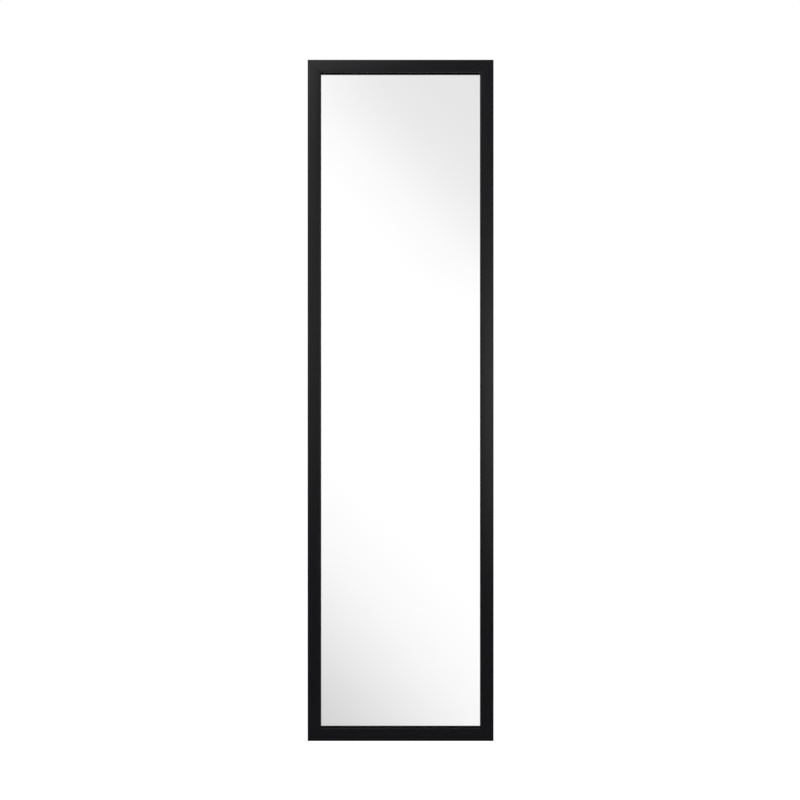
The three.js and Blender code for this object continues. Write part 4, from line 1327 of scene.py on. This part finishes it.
def make_bracket():
    low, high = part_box("swivel_bracket")
    pivot = pivot_spot()
    sheet = BRACKET_SHEET
    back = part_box("slide_inner_member")[0].y - FIT
    middle = back - sheet / 2
    edge = pivot.x - BRACKET_EDGE_GAP
    post = edge - BRACKET_POST
    top = high.z
    fold_z = top - sheet / 2
    fold_end = middle - FOLD_RADIUS
    rib_x = post + sheet / 2
    rib_start = BRACKET_LEG_HALF + BRACKET_FILLET
    rib_end = top - sheet - FOLD_RADIUS - RELIEF
    rib_front = back - BRACKET_RIB
    halves = [
        bracket_half(side, low.x, post, edge, rib_x, rib_start, rib_end, fold_z) for side in (-1, 1)
    ]
    bracket = draw_sheet("bracket", halves[0] + halves[1][::-1], middle)
    for side in (-1, 1):
        fold(bracket, (0, rib_front - middle, 0), FOLD_RADIUS, lambda at: (
            same(at.x, rib_x) and rib_start - CLOSE < side * at.z < rib_end + CLOSE and same(at.y, middle)
        ))
        ear_reach = (0, pivot.y - EAR_RADIUS - middle, 0)
        fold(bracket, ear_reach, FOLD_RADIUS, on(z=side * fold_z, y=middle))
    round_points(bracket, BRACKET_RIB_CORNER, on(y=rib_front, x=rib_x))
    thicken(bracket, sheet)
    for side in (-1, 1):
        add_bracket_ear(bracket, side, pivot, post, edge, back, fold_end, top)
        hole_z = side * (rib_start + top - sheet) / 2
        drill(bracket, (post + edge) / 2, hole_z, BRACKET_HOLE, middle, THROUGH * sheet)
    for i in IN_A_ROW:
        x = middle_of(f"bracket_screw_{i}").x
        drill(bracket, x, 0, SCREW_RADIUS + FIT, middle, THROUGH * sheet)
    ease_and_finish(
        bracket, PLATE_EDGE, "folded_swivel_bracket", "carriage", "black_steel", "swivel_bracket",
    )


# Pivots


def shoulder_bolt(tip, thread_end, head_top):
    """A shoulder bolt: threaded tail, plain shank, and a head with a hex socket."""
    under_head = head_top - BOLT_HEAD_HEIGHT
    radius = PIVOT_RADIUS
    bolt = turn_profile("bolt", [
        (0, tip), (radius - BOLT_POINT, tip),
        *threaded(radius, tip + BOLT_EDGE, thread_end - SCREW_PITCH),
        (radius, thread_end), (radius, under_head),
        (BOLT_HEAD - BOLT_EDGE, under_head), (BOLT_HEAD, under_head + BOLT_EDGE),
        (BOLT_HEAD, head_top - BOLT_CROWN), (BOLT_HEAD - BOLT_EDGE, head_top - BOLT_CROWN_DROP),
        (BOLT_HEAD - BOLT_CROWN, head_top), (0, head_top),
    ])
    cut_away(bolt, add_round_bar(
        "socket", (0, 0, head_top), BOLT_SOCKET, 2 * BOLT_SOCKET_DEPTH, ALONG_Z, HEX_STEPS,
    ))
    return bolt


def flanged_bush(bore, floor, top):
    outside = bore + BUSH_WALL
    flange = top - BUSH_FLANGE_SHEET
    bush = turn_profile("bush", [
        (bore, floor), (outside, floor), (outside, flange), (BUSH_FLANGE, flange),
        (BUSH_FLANGE, top), (bore, top), (bore, floor),
    ], PIVOT_STEPS)
    ease(bush, BUSH_EDGE, CAST_EDGE_STEPS)
    return bush


def disc_spring(bore, rim, crest):
    """A coned washer, its inner edge up."""
    disc = turn_profile("disc", [
        (bore, crest - SPRING_SHEET), (SPRING_RADIUS, rim), (SPRING_RADIUS, rim + SPRING_SHEET),
        (bore, crest), (bore, crest - SPRING_SHEET),
    ], PIVOT_STEPS)
    ease(disc, SPRING_EDGE)
    return disc


def lock_nut(bore, top):
    """A hexagon with its corners turned off, and the round collar of the locking ring below it."""
    turned = NUT_RADIUS - NUT_CHAMFER
    bottom = top - NUT_HEIGHT
    shoulder = bottom + COLLAR_HEIGHT
    nut = add_round_bar(
        "hexagon", (0, 0, (top + shoulder) / 2), NUT_RADIUS, top - shoulder, ALONG_Z, HEX_STEPS,
    )
    limit = turn_profile("limit", [
        (0, shoulder - OVERRUN), (turned, shoulder - OVERRUN), (turned, shoulder),
        (NUT_RADIUS, shoulder + NUT_CHAMFER / 2), (NUT_RADIUS, top - NUT_CHAMFER / 2),
        (turned, top), (turned, top + OVERRUN), (0, top + OVERRUN),
    ])
    apply_modifier(nut, "BOOLEAN", operation="INTERSECT", solver="EXACT", object=limit)
    throw_away(limit)
    weld_on(nut, turn_profile("collar", [
        (0, bottom), (COLLAR_RADIUS - COLLAR_EDGE, bottom), (COLLAR_RADIUS, bottom + COLLAR_EDGE),
        (COLLAR_RADIUS, shoulder + OVERRUN), (0, shoulder + OVERRUN),
    ]))
    cut_away(nut, add_round_bar("bore", (0, 0, top), bore, THROUGH * NUT_HEIGHT, ALONG_Z))
    return nut


def make_pivots():
    pivot = pivot_spot()
    tip, head_top = (corner.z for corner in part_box("pivot_bolt_upper"))
    bush_floor, bush_top = (corner.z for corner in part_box("pivot_bush_upper"))
    rim, crest = (corner.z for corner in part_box("pivot_spring_upper"))
    bore = PIVOT_RADIUS + FIT
    nut_top = bush_floor - FIT
    lots = [
        ("bolt", shoulder_bolt(tip, nut_top, head_top), "zinc_plate", "carriage"),
        ("bush", flanged_bush(bore, bush_floor, bush_top), "nylon", "mirror"),
        ("spring", disc_spring(bore, rim, crest), "spring_steel", "carriage"),
        ("nut", lock_nut(bore, nut_top), "zinc_plate", "carriage"),
    ]
    for kind, blank, slot, body in lots:
        for side, turn in (("upper", 0), ("lower", math.pi)):
            set_in_place(
                copy_of(blank), (pivot.x, pivot.y, 0), (turn, 0, 0),
                f"{side}_turned_{kind}", body, slot, f"pivot_{kind}_{side}",
            )
        throw_away(blank)


# Slide


def section_spot(up, forward, x=0.0):
    """A point of the slide's section, in space."""
    return Vector((x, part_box("slide_outer_member")[1].y - forward, up))


def race_point(row, degrees):
    angle = math.radians(degrees)
    return (row[0] + RACE_RADIUS * math.cos(angle), row[1] + RACE_RADIUS * math.sin(angle))


def rolled_member(node, moves, sheet, bends=()):
    """A member rolled from sheet: an edge along X, drawn straight to points (up, forward) or spun
    about a ball row by degrees, mirrored below the middle and given its thickness."""
    low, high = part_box(node)
    at = moves[0]
    piece = draw_line(node, [section_spot(*at, low.x), section_spot(*at, high.x)])
    for move in moves[1:]:
        if len(move) == 2:
            draw_out(section_spot(*move) - section_spot(*at))
            at = move
            continue
        row, start, end = move
        bpy.ops.mesh.spin(
            steps=max(RACE_STEPS_LEAST, int(abs(end - start) / RACE_STEP)),
            angle=math.radians(start - end),
            center=section_spot(*row), axis=(1, 0, 0),
        )
        at = race_point(row, end)
    leave_edit()
    for bend in bends:
        spot = section_spot(*bend)
        bevel_edges(piece, MEMBER_BEND_ROUND, MEMBER_BEND_STEPS, on(y=spot.y, z=spot.z))
    apply_modifier(
        piece, "MIRROR", use_axis=(False, False, True), use_mirror_merge=True, merge_threshold=CLOSE,
    )
    thicken(piece, sheet)
    return piece


def finish_member(piece, name, body, node):
    ease(piece, MEMBER_EDGE)
    smooth(piece, MEMBER_SMOOTH_ANGLE)
    finish_piece(piece, name, body, "slide_steel", node)


def make_outer_member():
    back = section_spot(0, 0).y
    outer = rolled_member("slide_outer_member", [
        (0, SLIDE_SHEET / 2), (OUTER_ROW[0], SLIDE_SHEET / 2), (OUTER_ROW, *OUTER_RACE),
    ], SLIDE_SHEET)
    for x in (-ACCESS_PLACE, ACCESS_PLACE):
        cut_away(outer, round_slot(x, 0, MEMBER_SLOT, MEMBER_SLOT_HALF, back))
    for i in IN_A_ROW:
        cut_away(outer, rivet_cutter(i))
    finish_member(outer, "rolled_outer_member", "panel_mount", "slide_outer_member")


def make_middle_member():
    """The S-shaped flange runs round the inside of the outer balls and the outside of the inner."""
    to_inner = math.degrees(math.atan2(INNER_ROW[1] - OUTER_ROW[1], INNER_ROW[0] - OUTER_ROW[0]))
    start, end = MIDDLE_RACE
    bend = (OUTER_ROW[0] - RACE_RADIUS - MEMBER_BEND, MIDDLE_WEB)
    middle = rolled_member("slide_middle_member", [
        (0, MIDDLE_WEB), bend, race_point(OUTER_ROW, start),
        (OUTER_ROW, start, to_inner), (INNER_ROW, to_inner - 180, end),
    ], SLIDE_SHEET, [bend])
    for x in (-ACCESS_PLACE, 0, ACCESS_PLACE):
        drill(middle, x, 0, ACCESS_HOLE, section_spot(0, MIDDLE_WEB).y, THROUGH * SLIDE_SHEET)
    finish_member(middle, "rolled_middle_member", "middle_slide", "slide_middle_member")


def make_inner_member():
    start, end = INNER_RACE
    race = race_point(INNER_ROW, start)
    bends = [
        (race[0] - MEMBER_BEND - SLIDE_SHEET, INNER_WEB),
        (race[0] - SLIDE_SHEET / 2, INNER_WEB - MEMBER_BEND),
    ]
    inner = rolled_member("slide_inner_member", [
        (0, INNER_WEB), *bends, race, (INNER_ROW, start, end),
    ], SLIDE_SHEET, bends)
    web = section_spot(0, INNER_WEB).y
    for x in (-ACCESS_PLACE, 0):
        drill(inner, x, 0, ACCESS_HOLE, web, THROUGH * SLIDE_SHEET)
    for i in IN_A_ROW:
        x = middle_of(f"bracket_screw_{i}").x
        drill(inner, x, 0, SCREW_RADIUS + FIT, web, THROUGH * SLIDE_SHEET)
    finish_member(inner, "rolled_inner_member", "carriage", "slide_inner_member")


def add_ball(spot):
    deselect_all()
    bpy.ops.mesh.primitive_ico_sphere_add(
        subdivisions=BALL_SUBDIVISIONS, radius=BALL_RADIUS, location=spot,
    )
    ball = bpy.context.object
    bpy.ops.object.transform_apply(location=True, rotation=True, scale=True)
    bpy.ops.object.shade_smooth()
    return ball


def make_cage(name, row, web, shoulder):
    """A thin folded strip with windows and a pocket round each ball, and the two rows of balls."""
    node = f"ball_cage_{name}"
    low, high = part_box(node)
    strip = rolled_member(node, [
        (0, web), (row[0] - shoulder, web), (row[0], web + shoulder), (row[0], row[1] + CAGE_REACH),
    ], CAGE_SHEET)
    pitch = (high.x - low.x) / CAGE_WINDOWS
    half_x = pitch * CAGE_WINDOW_SHARE / 2
    half_z = row[0] - shoulder - CAGE_WINDOW_MARGIN
    web_y = section_spot(0, web).y
    middle_x = (low.x + high.x) / 2
    for i in range(CAGE_WINDOWS):
        x = low.x + (i + 0.5) * pitch
        corners = box_outline(x - half_x, -half_z, x + half_x, half_z, CAGE_WINDOW_CORNER)
        cut_away(strip, draw_prism("window", corners, web_y + CAGE_SHEET, 2 * CAGE_SHEET))
    half_run = (high.x - low.x) / 2 - BALL_END_INSET
    places = [middle_x + half_run * (2 * i / (BALL_COUNT - 1) - 1) for i in range(BALL_COUNT)]
    row_y = section_spot(*row).y
    for x in places:
        cut_away(strip, add_round_bar(
            "pocket", (x, row_y, 0), BALL_RADIUS + CAGE_POCKET_FIT,
            CAGE_POCKET_CUT_SHARE * row[0], ALONG_Z,
        ))
    ease_and_finish(
        strip, CAGE_EDGE, f"{name}_cage_strip", f"{name}_cage", "slide_steel", node, segments=1,
    )
    balls = [add_ball((places[0], row_y, z)) for z in (-row[0], row[0])]
    for ball in balls[:]:
        balls += [put(copy_of(ball), (x - places[0], 0, 0)) for x in places[1:]]
    activate(balls[0])
    for ball in balls:
        ball.select_set(True)
    bpy.ops.object.join()
    finish_piece(balls[0], f"{name}_cage_balls", f"{name}_cage", "bearing_steel", node)


def make_cages():
    outer_web = SLIDE_SHEET + FIT + CAGE_SHEET / 2
    inner_web = MIDDLE_WEB + SLIDE_SHEET / 2 + INNER_CAGE_GAP + CAGE_SHEET / 2
    make_cage("outer", OUTER_ROW, outer_web, OUTER_CAGE_SHOULDER)
    make_cage("inner", INNER_ROW, inner_web, INNER_CAGE_SHOULDER)


def rivet_body(i, extra, overrun):
    """A rivet with a countersunk head at each end, along Y."""
    low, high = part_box(f"slide_rivet_{i}")
    head = RIVET_HEAD + extra
    radius = RIVET_RADIUS + extra
    rivet = turn_profile("rivet", [
        (0, low.y - overrun), (head, low.y - overrun), (head, low.y + RIVET_RIM),
        (radius, low.y + RIVET_HEAD_DEPTH), (radius, high.y - RIVET_HEAD_DEPTH),
        (head, high.y - RIVET_RIM), (head, high.y + overrun), (0, high.y + overrun),
    ])
    return put(rivet, ((low.x + high.x) / 2, 0, 0), (-QUARTER, 0, 0))


def rivet_cutter(i):
    return rivet_body(i, FIT, OVERRUN)


def make_rivets():
    for i in IN_A_ROW:
        rivet = rivet_body(i, 0, 0)
        ease_and_finish(
            rivet, RIVET_EDGE, f"flush_rivet_{i}", "panel_mount", "zinc_plate", f"slide_rivet_{i}",
        )


# Rubber


def make_rear_stop():
    low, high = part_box("slide_rear_stop")
    stop = add_block("stop", low, high)
    for y in (low.y, high.y):
        for z in (low.z, high.z):
            bevel_edges(stop, STOP_ROUND, STOP_ROUND_STEPS, on(y=y, z=z))
    ease_and_finish(
        stop, STOP_EDGE, "rubber_rear_stop", "panel_mount", "black_rubber", "slide_rear_stop",
        SOFT_EDGE_STEPS,
    )


def make_buffer():
    """A round foot with a tapered post, on which the stowed mirror leans."""
    low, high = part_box("stow_buffer")
    height = high.y - low.y
    buffer = turn_profile("buffer", [
        (0, 0), (BUFFER_BASE, 0), (BUFFER_BASE, BUFFER_BASE_HEIGHT),
        (BUFFER_RADIUS, BUFFER_BASE_HEIGHT), (BUFFER_TIP, height), (0, height),
    ], PIVOT_STEPS)
    ease(buffer, BUFFER_EDGE, BUFFER_EDGE_STEPS, BUFFER_EASE_ANGLE)
    place = middle_of("stow_buffer")
    set_in_place(
        buffer, (place.x, low.y, place.z), (-QUARTER, 0, 0),
        "rubber_stow_buffer", "mirror", "black_rubber", "stow_buffer",
    )


# Studio


def world_direction(azimuth, elevation):
    """A direction out of the scene: azimuth 0 is in front of the mirror, 90 to its right."""
    across, up = math.radians(azimuth), math.radians(elevation)
    return (math.sin(across) * math.cos(up), -math.cos(across) * math.cos(up), math.sin(up))


def soft_boxes(tree, facing):
    """What sheen mirrors: a dim room with soft round lights, each fading out from its middle."""
    total = ROOM_SHEEN
    for azimuth, elevation, spread, strength in SOFT_BOXES:
        near = add_node(tree, "ShaderNodeVectorMath", {
            0: facing, 1: world_direction(azimuth, elevation),
        }, operation="DOT_PRODUCT")
        glow = add_node(tree, "ShaderNodeMapRange", {
            "Value": near.outputs["Value"], "From Min": math.cos(math.radians(spread)), "From Max": 1.0,
            "To Max": strength,
        }, interpolation_type="SMOOTHSTEP")
        total = add_node(tree, "ShaderNodeMath", {
            0: glow.outputs["Result"], 1: total,
        }, operation="ADD").outputs[0]
    return total


def mirrored_wall(tree, facing):
    """What the mirror shows: a white wall that greys softly towards its upper right and lower left."""
    slant = add_node(tree, "ShaderNodeVectorMath", {0: facing, 1: WALL_SLANT}, operation="DOT_PRODUCT")
    place = add_node(tree, "ShaderNodeMapRange", {
        "Value": slant.outputs["Value"], "From Min": -WALL_REACH, "From Max": WALL_REACH,
    })
    ramp = add_node(tree, "ShaderNodeValToRGB", {"Fac": place.outputs["Result"]})
    ramp.color_ramp.interpolation = "B_SPLINE"
    stops = ramp.color_ramp.elements
    while len(stops) < len(WALL_TONES):
        stops.new(0.5)
    for stop, (where, tone) in zip(stops, WALL_TONES):
        stop.position = (where / WALL_REACH + 1) / 2
        stop.color = (tone, tone, tone, 1)
    return add_node(tree, "ShaderNodeMath", {
        0: ramp.outputs["Color"], 1: WALL_LIGHT,
    }, operation="MULTIPLY").outputs[0]


def light_studio():
    """White for the eye, a softly toned white wall for the mirror, soft boxes for sheen, and an
    even light for everything else."""
    world = bpy.data.worlds.new("white_studio")
    bpy.context.scene.world = world
    world.use_nodes = True
    world.cycles.sampling_method = "NONE"
    tree = world.node_tree
    facing = add_node(tree, "ShaderNodeTexCoord").outputs["Generated"]
    rays = add_node(tree, "ShaderNodeLightPath")
    level = EVEN_LIGHT
    for kind, tone in (
        ("Is Glossy Ray", soft_boxes(tree, facing)),
        ("Is Transmission Ray", mirrored_wall(tree, facing)),
        ("Is Camera Ray", 1.0),
    ):
        level = add_node(tree, "ShaderNodeMix", {0: rays.outputs[kind], 2: level, 3: tone}).outputs[0]
    sky = add_node(tree, "ShaderNodeBackground", {"Color": (1, 1, 1, 1), "Strength": level})
    tree.links.new(sky.outputs["Background"], tree.nodes["World Output"].inputs["Surface"])


def add_lamps():
    """Two square lamps that look at the mirror's middle, which no reflection shows."""
    for name, place, side in LAMPS:
        data = bpy.data.lights.new(name, "AREA")
        data.shape = "SQUARE"
        data.size = side
        data.energy = LAMP_POWER
        lamp = bpy.data.objects.new(name, data)
        bpy.context.scene.collection.objects.link(lamp)
        lamp.location = place
        lamp.rotation_mode = "QUATERNION"
        lamp.rotation_quaternion = (-Vector(place)).to_track_quat("-Z", "Y")
        lamp.visible_camera = False
        lamp.visible_glossy = False
        lamp.visible_transmission = False


def lay_floor():
    """A plain white floor well below the hung mirror, which keeps its soft shadow."""
    deselect_all()
    bpy.ops.mesh.primitive_plane_add(size=FLOOR_SIDE, location=(0, 0, FLOOR_HEIGHT))
    floor = bpy.context.object
    floor.name = "studio_floor"
    bpy.ops.object.transform_apply(location=True, rotation=True, scale=True)
    material, tree, shader, _ = start_material(
        "matt_white_floor", Base_Color=linear("#f2f2f2"), Roughness=0.9,
    )
    rays = add_node(tree, "ShaderNodeLightPath")
    glow = add_node(tree, "ShaderNodeEmission", {"Color": (1, 1, 1, 1), "Strength": FLOOR_GLOW})
    share = add_node(tree, "ShaderNodeMath", {
        0: rays.outputs["Is Camera Ray"], 1: FLOOR_GLOW_SHARE,
    }, operation="MULTIPLY")
    mixed = add_node(tree, "ShaderNodeMixShader", {
        0: share.outputs[0], 1: shader.outputs["BSDF"], 2: glow.outputs["Emission"],
    })
    tree.links.new(mixed.outputs["Shader"], tree.nodes["Material Output"].inputs["Surface"])
    floor.data.materials.append(material)
    floor.visible_glossy = False
    floor.visible_transmission = False


def set_camera():
    front = frame_edges()[3]
    per_pixel = PICTURE_SPAN / PICTURE_SIDE
    data = bpy.data.cameras.new("camera")
    data.lens = data.sensor_width * CAMERA_DISTANCE / PICTURE_SPAN
    camera = bpy.data.objects.new("camera", data)
    bpy.context.scene.collection.objects.link(camera)
    camera.location = (
        (PICTURE_SIDE / 2 - MIRROR_MIDDLE_PIXEL[0]) * per_pixel,
        front - CAMERA_DISTANCE,
        (MIRROR_MIDDLE_PIXEL[1] - PICTURE_SIDE / 2) * per_pixel,
    )
    camera.rotation_euler = (QUARTER, 0, 0)
    bpy.context.scene.camera = camera


set_camera()
make_mirror_sides()
make_corners()
make_pane()
make_board()
make_screws()
make_hinge_plate()
make_mounting_plate()
make_bracket()
make_pivots()
make_outer_member()
make_middle_member()
make_inner_member()
make_cages()
make_rivets()
make_rear_stop()
make_buffer()
light_studio()
lay_floor()
add_lamps()

bpy.context.scene.view_settings.view_transform = "Standard"
